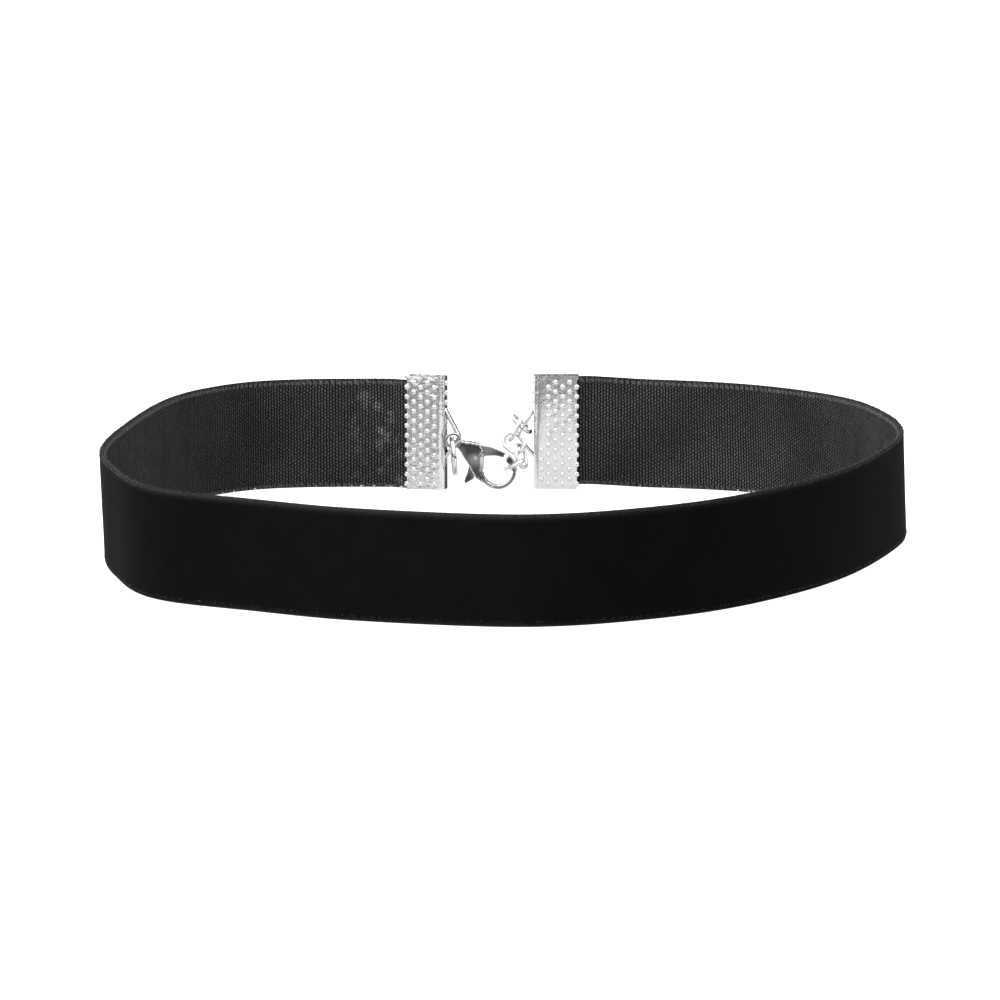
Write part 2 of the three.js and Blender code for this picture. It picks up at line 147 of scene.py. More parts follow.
class CrimpSizes(bpy.types.PropertyGroup):
    """Sizes of the stamped crimps"""
    left_length: length_property("Left length", "From the left crimp's fold to its mouth", 3.5 * MM)
    right_length: length_property("Right length", "From the right crimp's fold to its mouth", 4.0 * MM)
    height: length_property("Height", "Height of the crimp", 10.5 * MM)
    plate: length_property("Plate", "Thickness of the sheet", 0.35 * MM)
    depth: length_property("Depth", "Outside thickness of the folded crimp", 2.0 * MM)
    bend: length_property("Bend", "Outside radius of the fold", 0.5 * MM)
    gap: length_property("Closure gap", "Distance between the two crimps' folds", 8.07 * MM)
    dot_radius: length_property("Dot radius", "Radius of a raised dot", 0.25 * MM)
    dot_rise: length_property("Dot rise", "Height of a raised dot", 0.17 * MM)
    row_pitch: length_property("Row pitch", "Distance between dots up a column", 0.9 * MM)
    column_pitch: length_property("Column pitch", "Distance between columns of dots", 0.654 * MM)
    fold_margin: length_property("Fold margin", "Columns closer to the fold stay under the strap", 0.8 * MM)
    tooth: length_property("Tooth", "Radius of a tooth on the mouth's edge", 0.25 * MM)
    # How much lighter the lever's flat faces are painted than the body's painted dark faces, from 0 to 1
    strap_width: length_property("Strap width", "Width of the lanced strap", 0.8 * MM)
    strap_thickness: length_property("Strap thickness", "Thickness of the lanced strap", 0.3 * MM)
    strap_top: length_property("Strap top", "Height of the strap's upper root", 7.5 * MM)
    strap_peak: length_property("Strap peak", "Height of the strap's furthest point", 4.9 * MM)
    strap_bottom: length_property("Strap bottom", "Height of the strap's lower root", 2.9 * MM)
    slot_clearance: length_property("Slot clearance", "Gap beside the strap's root", 0.12 * MM)


class FittingSizes(bpy.types.PropertyGroup):
    """Sizes of the ring, the chain and the clasp"""
    ring_radius: length_property("Ring radius", "Radius of the jump ring's wire line", 1.62 * MM)
    ring_wire: length_property("Ring wire", "Radius of the jump ring's wire", 0.225 * MM)
    link_half_length: length_property("Link half length", "Half length of a link's wire line", 1.1 * MM)
    link_half_width: length_property("Link half width", "Half width of a link's wire line", 0.78 * MM)
    link_wire: length_property("Link wire", "Radius of a link's wire", 0.2 * MM)
    cast_grain: length_property("Cast grain", "Size of the cells that round the cast pieces", 0.05 * MM)
    rivet_radius: length_property("Rivet radius", "Radius of the rivet's pin", 0.24 * MM)
    plug: length_property("Peened end", "How deep the rivet's peened ends close the bore", 0.25 * MM)
    dome_reach: length_property("Dome reach", "How far in from its outline the clasp still rises", 0.4 * MM)
    # The worn rim is the width of the clasp's rims painted bright, a painted highlight beside the faces
    # painted dark as a painted reflection.
    rim_highlight_reach: length_property("Painted rim highlight", "Width of the clasp's rims that handling keeps bright", 0.2 * MM)
    slot_wall: length_property("Slot wall", "Half thickness that the doming leaves as it is", 0.46 * MM)


class FinishColours(bpy.types.PropertyGroup):
    """Colours of the finishes"""
    velvet: colour_property("Velvet", "Colour of the pile", (0.003, 0.003, 0.0032))
    # The pile edge colour is painted rim light: lighter than the pile, it stands for light that catches the
    # pile's rims and comes through its edge fibres.
    painted_rim_light: colour_property("Pile edge", "Colour of the pile where light comes through", (0.03, 0.03, 0.031))
    thread: colour_property("Thread", "Colour of the backing's threads", (0.098, 0.098, 0.1))
    gap: colour_property("Thread gap", "Colour between the backing's threads", (0.0045, 0.0045, 0.0046))
    selvedge: colour_property("Selvedge", "Colour of the edge's thread loops", (0.058, 0.058, 0.06))
    stamped: colour_property("Stamped plate", "Colour of the crimps", (0.86, 0.86, 0.87))
    wire: colour_property("Wire", "Colour of the ring and the links", (0.84, 0.84, 0.85))
    cast: colour_property("Cast metal", "Colour of the clasp's rims", (0.86, 0.86, 0.87))
    # The clasp's flat faces are painted this dark as a painted reflection of a dark room.
    dark_face_reflection: colour_property("Painted face reflection", "Colour of the clasp's flat faces", (0.27, 0.27, 0.28))
    floor: colour_property("Floor", "Colour of the floor", (0.9, 0.9, 0.9))


# Shader helpers. Noise scales count cells a metre, and the two numbers after them are detail and roughness.

class Finish:
    """A material's node tree, with short calls for the nodes that the finishes share."""

    def __init__(self, name):
        self.material = bpy.data.materials.new(name)
        self.material.use_nodes = True
        self.tree = self.material.node_tree
        self.tree.nodes.clear()
        self.output = self.tree.nodes.new("ShaderNodeOutputMaterial")
        self.shader = self.tree.nodes.new("ShaderNodeBsdfPrincipled")
        self.tree.links.new(self.shader.outputs["BSDF"], self.output.inputs["Surface"])

    def node(self, kind, **values):
        node = self.tree.nodes.new(kind)
        for name, value in values.items():
            setattr(node, name, value)
        return node

    def link(self, source, target):
        self.tree.links.new(source, target)

    def set(self, **values):
        """Sets plain values on the shader's own sockets."""
        for name, value in values.items():
            self.shader.inputs[name.replace("_", " ")].default_value = value

    def coordinates(self, output="Object"):
        return self.node("ShaderNodeTexCoord").outputs[output]

    def noise(self, vector, scale, detail, roughness):
        node = self.node("ShaderNodeTexNoise")
        node.inputs["Scale"].default_value = scale
        node.inputs["Detail"].default_value = detail
        node.inputs["Roughness"].default_value = roughness
        self.link(vector, node.inputs["Vector"])
        return node.outputs["Fac"]

    def math(self, operation, *values):
        node = self.node("ShaderNodeMath", operation=operation)
        for socket, value in zip(node.inputs, values):
            if isinstance(value, (int, float)):
                socket.default_value = value
            else:
                self.link(value, socket)
        return node.outputs[0]

    def span(self, value, low, high, from_low=0.0, from_high=1.0):
        """Carries a value from one range to another, and holds it at the ends."""
        node = self.node("ShaderNodeMapRange")
        self.link(value, node.inputs["Value"])
        numbers = {"From Min": from_low, "From Max": from_high, "To Min": low, "To Max": high}
        for name, number in numbers.items():
            node.inputs[name].default_value = number
        return node.outputs["Result"]

    def mix(self, factor, first, second):
        node = self.node("ShaderNodeMix", data_type="RGBA")
        self.link(factor, node.inputs["Factor"])
        for name, value in (("A", first), ("B", second)):
            socket = next(s for s in node.inputs if s.name == name and s.type == "RGBA")
            if isinstance(value, (tuple, list)):
                socket.default_value = (*value, 1.0)
            else:
                self.link(value, socket)
        return next(s for s in node.outputs if s.type == "RGBA")

    def tones(self, source, low, high, first, second):
        """Goes from one colour to another where a pattern climbs from low to high."""
        return self.mix(self.span(source, 0.0, 1.0, low, high), first, second)

    def split(self, vector):
        node = self.node("ShaderNodeSeparateXYZ")
        self.link(vector, node.inputs["Vector"])
        return node.outputs

    def bump(self, height, strength, distance):
        node = self.node("ShaderNodeBump")
        node.inputs["Strength"].default_value = strength
        node.inputs["Distance"].default_value = distance
        self.link(height, node.inputs["Height"])
        return node

    def colour(self, source):
        self.link(source, self.shader.inputs["Base Color"])

    def roughness(self, source):
        self.link(source, self.shader.inputs["Roughness"])

    def normal(self, node):
        self.link(node.outputs["Normal"], self.shader.inputs["Normal"])


def shade(colour, factor):
    """A colour made darker or lighter."""
    return tuple(min(1.0, channel * factor) for channel in colour)


# How far along the ribbon the scuffs near the left crimp fade out
SCUFFS_FADE = (5.5 * MM, 9.5 * MM)
# Colour of the painted glints: a few loops at the ribbon's foot painted near white
PAINTED_GLINT = (0.8, 0.8, 0.8)
# The crimps' bulge: its peak as a share of the height, and how fast the sheet falls away from it
BULGE_PEAK = 0.85
BULGE = -20.8


def velvet_finish(colours, ribbon):
    """Cut pile: nearly black face on, with a grey sheen at a glance, faint nap marks, and upper and lower
    rims painted lighter as painted rim light where light catches the pile's edges.
    """
    finish = Finish("velvet_pile")
    place = finish.coordinates()
    nap = finish.noise(place, 260.0, 4.0, 0.6)
    grain = finish.noise(place, 9000.0, 2.0, 0.6)
    base = tuple(colours.velvet)
    brushed = finish.tones(nap, 0.3, 0.7, shade(base, 0.75), shade(base, 1.3))
    face = finish.mix(finish.span(grain, 0.0, 0.5, 0.35, 0.75), brushed, shade(base, 2.2))
    height = finish.split(finish.coordinates("UV"))["Y"]
    # Painted rim light: the pile is painted lighter towards its upper and lower edges.
    upper_lit_rim = 1.6 * ribbon.rim
    lower = finish.span(height, 1.0, 0.0, 0.0, ribbon.rim)
    upper = finish.span(height, 0.0, 1.0, ribbon.width - upper_lit_rim, ribbon.width)
    rim = finish.math("POWER", finish.math("MAXIMUM", lower, upper), 2.0)
    ragged_rim_light = finish.math("MULTIPLY", rim, finish.span(grain, 0.6, 1.3, 0.3, 0.7))
    finish.colour(finish.mix(ragged_rim_light, face, shade(tuple(colours.painted_rim_light), 1.05)))
    finish.set(Roughness=1.0, Specular_IOR_Level=0.05, Sheen_Weight=0.055, Sheen_Roughness=0.13)
    finish.shader.inputs["Sheen Tint"].default_value = (0.75, 0.76, 0.8, 1.0)
    finish.normal(finish.bump(grain, 0.35, 0.04 * MM))
    return finish.material


def fibre_finish(colours):
    """Single pile fibres at the ribbon's edges, painted lighter than the pile as painted rim light, for light
    that catches and comes through them.
    """
    finish = Finish("pile_fibre")
    shift = finish.noise(finish.coordinates(), 5200.0, 2.0, 0.5)
    base = tuple(colours.painted_rim_light)
    finish.colour(finish.tones(shift, 0.35, 0.65, shade(base, 0.4), shade(base, 1.8)))
    finish.set(Roughness=0.6, Specular_IOR_Level=0.3, Sheen_Weight=0.25, Sheen_Roughness=0.4)
    return finish.material


def backing_finish(colours, ribbon):
    """Plain weave: upright ribs of thread crossed by short staggered stitches."""
    finish = Finish("woven_backing")
    cloth = finish.split(finish.coordinates("UV"))
    place = finish.coordinates()
    base = tuple(colours.thread)
    stitch_pitch = ribbon.rib_pitch * 1.15
    drift = finish.noise(place, 1300.0, 2.0, 0.5)
    along = finish.math("MULTIPLY_ADD", cloth["X"], 1 / ribbon.rib_pitch,
                        finish.span(drift, -0.16, 0.16, 0.3, 0.7))
    upward = finish.math("MULTIPLY_ADD", cloth["Y"], 1 / stitch_pitch,
                         finish.span(drift, 0.25, -0.25, 0.3, 0.7))
    parity = finish.math("MODULO", finish.math("FLOOR", along), 2.0)
    staggered = finish.math("MULTIPLY_ADD", parity, 0.5, upward)
    turn = 2 * math.pi
    rib = finish.math("SINE", finish.math("MULTIPLY_ADD", along, turn, -math.pi / 2))
    stitch = finish.math("SINE", finish.math("MULTIPLY", staggered, turn))
    rib_share = finish.span(rib, 0.0, 1.0, -0.7, 0.9)
    stitch_share = finish.span(stitch, 0.0, 1.0, -0.5, 0.9)
    thread = finish.math("MULTIPLY", rib_share, finish.span(stitch_share, 0.25, 1.0))
    wear = finish.noise(place, 2900.0, 2.0, 0.6)
    cloud = finish.noise(place, 160.0, 2.0, 0.5)
    level = finish.math("MULTIPLY_ADD", wear, 0.5, finish.math("MULTIPLY", cloud, 0.5))
    lit = finish.tones(level, 0.35, 0.65, shade(base, 0.58), shade(base, 1.38))
    rubbed = finish.math("MULTIPLY", finish.span(cloth["X"], 1.0, 0.0, *SCUFFS_FADE),
                         finish.span(finish.noise(place, 780.0, 3.0, 0.6), 0.0, 0.85, 0.52, 0.66))
    scuffed = finish.mix(rubbed, lit, shade(base, 3.2))
    between = finish.mix(rubbed, tuple(colours.gap), shade(base, 0.3))
    finish.colour(finish.mix(thread, between, scuffed))
    finish.set(Roughness=0.85, Specular_IOR_Level=0.12)
    finish.normal(finish.bump(thread, 0.7, 0.05 * MM))
    return finish.material


def selvedge_finish(colours):
    """Glossy nylon thread loops on the ribbon's two edges: the lower ones darker, with a few at the foot
    painted white as painted glints.
    """
    finish = Finish("selvedge_thread")
    place = finish.coordinates()
    twist = finish.noise(place, 7000.0, 2.0, 0.5)
    base = tuple(colours.selvedge)
    height = finish.split(place)["Z"]
    low = finish.span(height, 1.0, 0.0, 3 * MM, 6 * MM)
    bottom = finish.span(height, 1.0, 0.0, 0.1 * MM, 0.2 * MM)
    # Painted glints: a few loops at the very foot are painted near white.
    bare = finish.span(finish.noise(place, 2300.0, 0.0, 0.5), 0.0, 1.0, 0.66, 0.7)
    thread = finish.tones(twist, 0.35, 0.65, shade(base, 0.4), shade(base, 1.8))
    dark = finish.tones(twist, 0.35, 0.65, shade(base, 0.25), shade(base, 0.95))
    both = finish.mix(low, thread, dark)
    finish.colour(finish.mix(finish.math("MULTIPLY", bottom, bare), both, PAINTED_GLINT))
    finish.set(Roughness=0.5, Specular_IOR_Level=0.3)
    finish.normal(finish.bump(twist, 0.4, 0.03 * MM))
    return finish.material


def stamped_finish(colours, crimp):
    """Tin-bright stamped sheet: satin gloss, a slow bulge up the plate, and dents, most on the left crimp."""
    finish = Finish("stamped_plate")
    place = finish.coordinates()
    wave = finish.noise(place, 420.0, 2.0, 0.5)
    grain = finish.noise(place, 5200.0, 3.0, 0.6)
    base = tuple(colours.stamped)
    finish.colour(finish.tones(wave, 0.35, 0.7, base, shade(base, 0.86)))
    finish.roughness(finish.span(grain, 0.13, 0.24, 0.3, 0.7))
    finish.set(Metallic=1.0)
    spot = finish.split(place)
    above = finish.math("SUBTRACT", spot["Z"], crimp.height * BULGE_PEAK)
    bulge = finish.bump(finish.math("MULTIPLY", finish.math("MULTIPLY", above, above), BULGE), 1.0, 1.0)
    slow = finish.bump(wave, 0.45, 0.3 * MM)
    dents = finish.bump(finish.noise(place, 1700.0, 2.0, 0.6), 1.0, 0.09 * MM)
    finish.link(finish.span(spot["X"], 1.0, 0.25, -2 * MM, 2 * MM), dents.inputs["Strength"])
    fine = finish.bump(grain, 0.5, 0.04 * MM)
    for under, over in ((bulge, slow), (slow, dents), (dents, fine)):
        finish.link(under.outputs["Normal"], over.inputs["Normal"])
    finish.normal(fine)
    return finish.material


def dot_finish(colours):
    """The raised dots, painted brighter than the sheet around them as a painted highlight."""
    finish = Finish("highlighted_dots")
    dot_speckle = finish.noise(finish.coordinates(), 2600.0, 2.0, 0.5)
    base = tuple(colours.stamped)
    finish.colour(finish.tones(dot_speckle, 0.35, 0.7, shade(base, 1.12), base))
    finish.roughness(finish.span(dot_speckle, 0.1, 0.2, 0.3, 0.7))
    finish.set(Metallic=0.7)
    finish.normal(finish.bump(dot_speckle, 0.15, 0.03 * MM))
    return finish.material


def wire_finish(colours):
    """Plated wire with faint drawing marks."""
    finish = Finish("plated_wire")
    marks = finish.noise(finish.coordinates(), 3600.0, 3.0, 0.6)
    base = tuple(colours.wire)
    finish.colour(finish.tones(marks, 0.35, 0.7, base, shade(base, 0.8)))
    finish.roughness(finish.span(marks, 0.07, 0.2, 0.3, 0.7))
    finish.set(Metallic=1.0)
    finish.normal(finish.bump(marks, 0.15, 0.03 * MM))
    return finish.material


def cast_finish(colours):
    """Polished plated casting with soft casting dimples: its flat faces painted dark as a painted reflection,
    its rims kept bright as a painted highlight.
    """
    finish = Finish("polished_casting")
    place = finish.coordinates()
    dimples = finish.noise(place, 1500.0, 2.0, 0.5)
    wear = finish.noise(place, 4800.0, 4.0, 0.6)
    base = tuple(colours.cast)
    dark_face_reflection = tuple(colours.dark_face_reflection)
    clouds = finish.noise(place, 480.0, 1.0, 0.5)
    # Painted reflection: the flat faces get the dark colour and the marked rims the bright one.
    rim_highlight = finish.node("ShaderNodeAttribute", attribute_name="rim_highlight").outputs["Fac"]
    bright = finish.tones(wear, 0.4, 0.75, base, shade(base, 0.78))
    face = finish.tones(clouds, 0.42, 0.58, shade(dark_face_reflection, 0.55), shade(dark_face_reflection, 2.1))
    finish.colour(finish.tones(rim_highlight, 0.35, 0.9, face, bright))
    finish.roughness(finish.span(wear, 0.05, 0.15, 0.3, 0.7))
    finish.set(Metallic=1.0)
    finish.normal(finish.bump(dimples, 0.12, 0.1 * MM))
    return finish.material


def floor_finish(colours):
    """Plain pale paper."""
    finish = Finish("pale_paper")
    tooth = finish.noise(finish.coordinates(), 900.0, 2.0, 0.5)
    base = tuple(colours.floor)
    finish.colour(finish.mix(tooth, base, shade(base, 0.995)))
    finish.set(Roughness=1.0, Specular_IOR_Level=0.1, Emission_Strength=1.0)
    finish.shader.inputs["Emission Color"].default_value = (1.0, 1.0, 1.0, 1.0)
    return finish.material


# Mesh helpers

def placed(name, data):
    """A new object at the origin that holds a mesh, a lamp or a camera."""
    obj = bpy.data.objects.new(name, data)
    bpy.context.scene.collection.objects.link(obj)
    return obj


def mesh_object(name, vertices, faces, uvs=None, smooth=True):
    """A new mesh and its object; uvs gives one pair for each vertex."""
    mesh = bpy.data.meshes.new(name)
    mesh.from_pydata([tuple(v) for v in vertices], [], faces)
    if uvs is not None:
        layer = mesh.uv_layers.new(name="UVMap")
        corner_vertices = np.zeros(len(mesh.loops), dtype=np.int32)
        mesh.loops.foreach_get("vertex_index", corner_vertices)
        layer.data.foreach_set("uv", np.asarray(uvs, dtype=np.float32)[corner_vertices].ravel())
    if smooth:
        mesh.shade_smooth()
    mesh.validate()
    return placed(name, mesh)


def mesh_points(mesh):
    """A mesh's vertices, one row each."""
    found = np.zeros(len(mesh.vertices) * 3)
    mesh.vertices.foreach_get("co", found)
    return found.reshape(-1, 3)


def outward_normals(obj):
    """Turns a closed mesh's faces outwards."""
    edit = bmesh.new()
    edit.from_mesh(obj.data)
    bmesh.ops.recalc_face_normals(edit, faces=edit.faces)
    edit.to_mesh(obj.data)
    edit.free()
    return obj


def settled(obj):
    """Turns an object's modifiers into its plain mesh."""
    bpy.context.view_layer.update()
    evaluated = obj.evaluated_get(bpy.context.evaluated_depsgraph_get())
    mesh = bpy.data.meshes.new_from_object(evaluated)
    obj.modifiers.clear()
    obj.data = mesh
    mesh.name = obj.name
    return obj


def finished(obj, material, body, replaced=()):
    """Gives a piece its finish and its body, and hides the solids that it stands for."""
    obj.data.materials.clear()
    obj.data.materials.append(material)
    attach(obj, body)
    if replaced:
        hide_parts(*replaced)
    return obj


def grid_faces(columns, rows, closed_rows=False):
    """Faces of a grid whose vertex number is column * rows + row."""
    faces = []
    for c in range(columns - 1):
        after = c + 1
        for r in range(rows if closed_rows else rows - 1):
            above = (r + 1) % rows
            faces.append((c * rows + r, after * rows + r, after * rows + above, c * rows + above))
    return faces


def bar_faces(sections, corners):
    """Faces of a bar whose sections are rings of corners, with a cap at each end."""
    faces = grid_faces(sections, corners, closed_rows=True)
    faces.append(tuple(range(corners)))
    faces.append(tuple(reversed(range((sections - 1) * corners, sections * corners))))
    return faces


def round_wire(name, points, radius, sides):
    """A round wire along points that lie in one plane, capped at both ends."""
    points = [Vector(p) for p in points]
    count = len(points)
    normal = (points[count // 3] - points[0]).cross(points[2 * count // 3] - points[0]).normalized()
    vertices = []
    for i, point in enumerate(points):
        along = points[min(i + 1, count - 1)] - points[max(i - 1, 0)]
        side = along.normalized().cross(normal).normalized()
        for k in range(sides):
            angle = 2 * math.pi * k / sides
            vertices.append(point + side * (radius * math.cos(angle)) + normal * (radius * math.sin(angle)))
    return outward_normals(mesh_object(name, vertices, bar_faces(count, sides)))


def node_points(name):
    """A solid's own corners, each once."""
    return np.unique(np.round(mesh_points(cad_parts[name].data), 7), axis=0)


def wire_place(name):
    """Centre and own axes of a ring or a link: long axis, short axis and normal as columns."""
    points = node_points(name)
    centre = points.mean(axis=0)
    _, vectors = np.linalg.eigh(np.cov((points - centre).T))
    along, normal = Vector(vectors[:, 2]), Vector(vectors[:, 0])
    across = normal.cross(along)
    turn = Matrix((along, across, normal)).transposed()
    return Vector(centre), turn


# Geometry node helpers

class Growth:
    """A geometry node tree with named inputs, and the modifier values that go with it."""

    def __init__(self, name):
        self.tree = bpy.data.node_groups.new(name, "GeometryNodeTree")
        self.tree.interface.new_socket("Geometry", in_out="INPUT", socket_type="NodeSocketGeometry")
        self.tree.interface.new_socket("Geometry", in_out="OUTPUT", socket_type="NodeSocketGeometry")
        self.inputs = self.tree.nodes.new("NodeGroupInput")
        self.output = self.tree.nodes.new("NodeGroupOutput")
        self.values = []

    def size(self, name, value, kind="NodeSocketFloat"):
        socket = self.tree.interface.new_socket(name, in_out="INPUT", socket_type=kind)
        self.values.append((socket.identifier, value))
        return self.inputs.outputs[name]

    def node(self, kind, links=None, **values):
        node = self.tree.nodes.new(kind)
        for name, value in values.items():
            setattr(node, name, value)
        for name, source in (links or {}).items():
            socket = node.inputs[name]
            if isinstance(source, bpy.types.NodeSocket):
                self.tree.links.new(source, socket)
            else:
                socket.default_value = source
        return node

    def math(self, operation, first, second):
        return self.node("ShaderNodeMath", {0: first, 1: second}, operation=operation).outputs[0]

    def own_curve(self):
        """The object's own line of edges as a curve."""
        return self.node("GeometryNodeMeshToCurve", {"Mesh": self.inputs.outputs[0]}).outputs[0]

    def own_turns(self):
        """The turn that each of the object's points carries."""
        return self.node("GeometryNodeInputNamedAttribute", {"Name": "turn"},
                         data_type="FLOAT_VECTOR").outputs[0]

    def scatter(self, least, most, seed):
        """A random vector for each point, between two others."""
        return self.node("FunctionNodeRandomValue", {"Min": least, "Max": most, "Seed": seed},
                         data_type="FLOAT_VECTOR").outputs[0]

    def copies(self, points, shape, turn, scale=(1.0, 1.0, 1.0)):
        """One copy of a shape at each point."""
        return self.node("GeometryNodeInstanceOnPoints", {"Points": points, "Instance": shape,
                                                          "Rotation": turn, "Scale": scale}).outputs[0]

    def grow(self, obj, instances, material):
        """Ends the tree, runs it on an object and leaves the plain mesh."""
        paint = self.size("Finish", material, "NodeSocketMaterial")
        whole = self.node("GeometryNodeRealizeInstances", {"Geometry": instances})
        smooth = self.node("GeometryNodeSetShadeSmooth", {"Geometry": whole.outputs[0], "Shade Smooth": True})
        painted = self.node("GeometryNodeSetMaterial", {"Geometry": smooth.outputs[0], "Material": paint})
        self.tree.links.new(painted.outputs[0], self.output.inputs[0])
        modifier = obj.modifiers.new(self.tree.name, "NODES")
        modifier.node_group = self.tree
        for identifier, value in self.values:
            modifier[identifier] = value
        return settled(obj)


def point_object(name, points, turns):
    """Loose points that carry a turn as an attribute."""
    mesh = bpy.data.meshes.new(name)
    mesh.from_pydata([tuple(p) for p in points], [], [])
    attribute = mesh.attributes.new("turn", "FLOAT_VECTOR", "POINT")
    attribute.data.foreach_set("vector", np.array([tuple(t) for t in turns], dtype=np.float32).ravel())
    return placed(name, mesh)


def line_object(name, points):
    """An open line of edges."""
    mesh = bpy.data.meshes.new(name)
    mesh.from_pydata([tuple(p) for p in points], [(i, i + 1) for i in range(len(points) - 1)], [])
    return placed(name, mesh)


# The ribbon's line

def plan_shift(ribbon, crimp):
    """From the drawing's centre to the frame's, measured on the right crimp's solid."""
    low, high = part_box(RIGHT_SPINE.node)
    mouth = CLOSURE_CENTRE * ribbon.half_width + crimp.gap / 2 + crimp.right_length + crimp.tooth
    return np.array([high.x - mouth, (low.y + high.y) / 2 - RIGHT_SPINE.deep * ribbon.half_depth])


def spine_place(spine, ribbon, crimp):
    """A fold's place in plan and its outward direction, towards the other crimp."""
    turn = math.radians(spine.turn)
    place = np.array([CLOSURE_CENTRE * ribbon.half_width + spine.side * crimp.gap / 2,
                      spine.deep * ribbon.half_depth])
    return place, np.array([math.cos(turn), math.sin(turn)])


def end_points(spine, ribbon, crimp):
    """The line's first points at one end, from the cut end inside the crimp outwards."""
    place, outward = spine_place(spine, ribbon, crimp)
    steps = (crimp.plate + ribbon.end_clearance, ribbon.straight_end / 2, ribbon.straight_end,
             ribbon.straight_end + ribbon.entry)
    return [(*(place - outward * step), 0.0) for step in steps]


# Fine points between each two rows of the loop
SAMPLES = 60


def centripetal(points, per_span):
    """A centripetal Catmull-Rom line through points, finely sampled."""
    points = np.array(points)
    padded = np.vstack([2 * points[0] - points[1], points, 2 * points[-1] - points[-2]])
    samples = []
    for i in range(len(points) - 1):
        p0, p1, p2, p3 = padded[i:i + 4]
        d0, d1, d2 = (max(np.sum((b - a) ** 2) ** 0.25, 1e-9) for a, b in ((p0, p1), (p1, p2), (p2, p3)))
        m1 = ((p1 - p0) / d0 - (p2 - p0) / (d0 + d1) + (p2 - p1) / d1) * d1
        m2 = ((p2 - p1) / d1 - (p3 - p1) / (d1 + d2) + (p3 - p2) / d2) * d1
        for t in np.linspace(0, 1, per_span, endpoint=False):
            samples.append(p1 + m1 * t + (3 * (p2 - p1) - 2 * m1 - m2) * t ** 2
                           + (2 * (p1 - p2) + m1 + m2) * t ** 3)
    samples.append(points[-1])
    return np.array(samples)


Line = namedtuple("Line", "at outward lean run length centred lift")


def smooth_step(share):
    """A soft rise from 0 to 1."""
    t = np.clip(share, 0.0, 1.0)
    return t * t * (3 - 2 * t)


def ribbon_line(ribbon, crimp, spacing):
    """The centre line at equal steps, with the lean, the ends' middle place and the right end's lift."""
    rows = [(row.across * ribbon.half_width, row.deep * ribbon.half_depth, row.lean * ribbon.width)
            for row in LOOP_ROWS]
    right_end = reversed(end_points(RIGHT_SPINE, ribbon, crimp))
    fine = centripetal([*end_points(LEFT_SPINE, ribbon, crimp), *rows, *right_end], SAMPLES)
    run = np.concatenate([[0.0], np.cumsum(np.linalg.norm(np.diff(fine, axis=0), axis=1))])
    length = run[-1]
    count = int(round(length / spacing)) + 1
    steps = np.linspace(0.0, length, count)
    at = np.stack([np.interp(steps, run, fine[:, k]) for k in range(3)], axis=1)
    along = np.gradient(at[:, :2], axis=0)
    along /= np.linalg.norm(along, axis=1)[:, None]
    outward = np.stack([along[:, 1], -along[:, 0]], axis=1)
    held = ribbon.straight_end - crimp.plate - ribbon.end_clearance
    opened = smooth_step((np.minimum(steps, length - steps) - held) / ribbon.entry)
    centred = -ribbon.inset / 2 * (1 - opened)
    lift = ribbon.lift * (1 - smooth_step((length - steps - held) / ribbon.lift_length))
    return Line(at[:, :2] + plan_shift(ribbon, crimp), outward, at[:, 2], steps, length, centred, lift)


def ribbon_points(line, ribbon, offset, height):
    """Points at one offset from the centre line, positive outwards, and one height."""
    out = line.lean * (1 - height / ribbon.width) + offset + line.centred
    place = line.at + line.outward * out[:, None]
    return np.column_stack([place, height + line.lift])


def ribbon_wall(name, line, ribbon, profile, relief):
    """A closed wall along the ribbon. profile runs round the section as (offset, height) pairs.

    relief gives, for each profile point, an offset that changes along the line.
    """
    columns = [ribbon_points(line, ribbon, offset + rise, height)
               for (offset, height), rise in zip(profile, relief)]
    vertices = np.stack(columns, axis=1).reshape(-1, 3)
    count = len(line.run)
    uvs = np.stack([np.column_stack([line.run, np.full(count, height)]) for _, height in profile], axis=1)
    faces = bar_faces(count, len(profile))
    return outward_normals(mesh_object(name, vertices, faces, uvs.reshape(-1, 2)))


def sizes(context):
    """The sizes and colours that stand in the sidebar."""
    scene = context.scene
    return scene.choker_ribbon, scene.choker_crimp, scene.choker_fittings, scene.choker_colours


# Reach of the backing's rounded edges
BACKING_EDGE = 0.12 * MM
# The selvedge's beads: their turn and proportions, the range of their sizes, and the heights of their rows in
# bead radii, below the upper edge and above the lower one
BEAD_TURN = (math.radians(22), 0.0, 0.0)
BEAD_SHAPE = (0.75, 1.45, 1.65)
BEAD_LEAST = (0.75, 0.8, 0.8)
BEAD_MOST = (1.1, 1.1, 1.15)
BEADS_DOWN = 2.0
BEADS_UP = 1.55
# How far inside the backing's face the beads' centres stand, in bead radii
BEAD_DEPTH = 0.2
# Line points left out at each end of the selvedge, and the step between those that are kept
BARE_POINTS = 12
POINT_STEP = 4


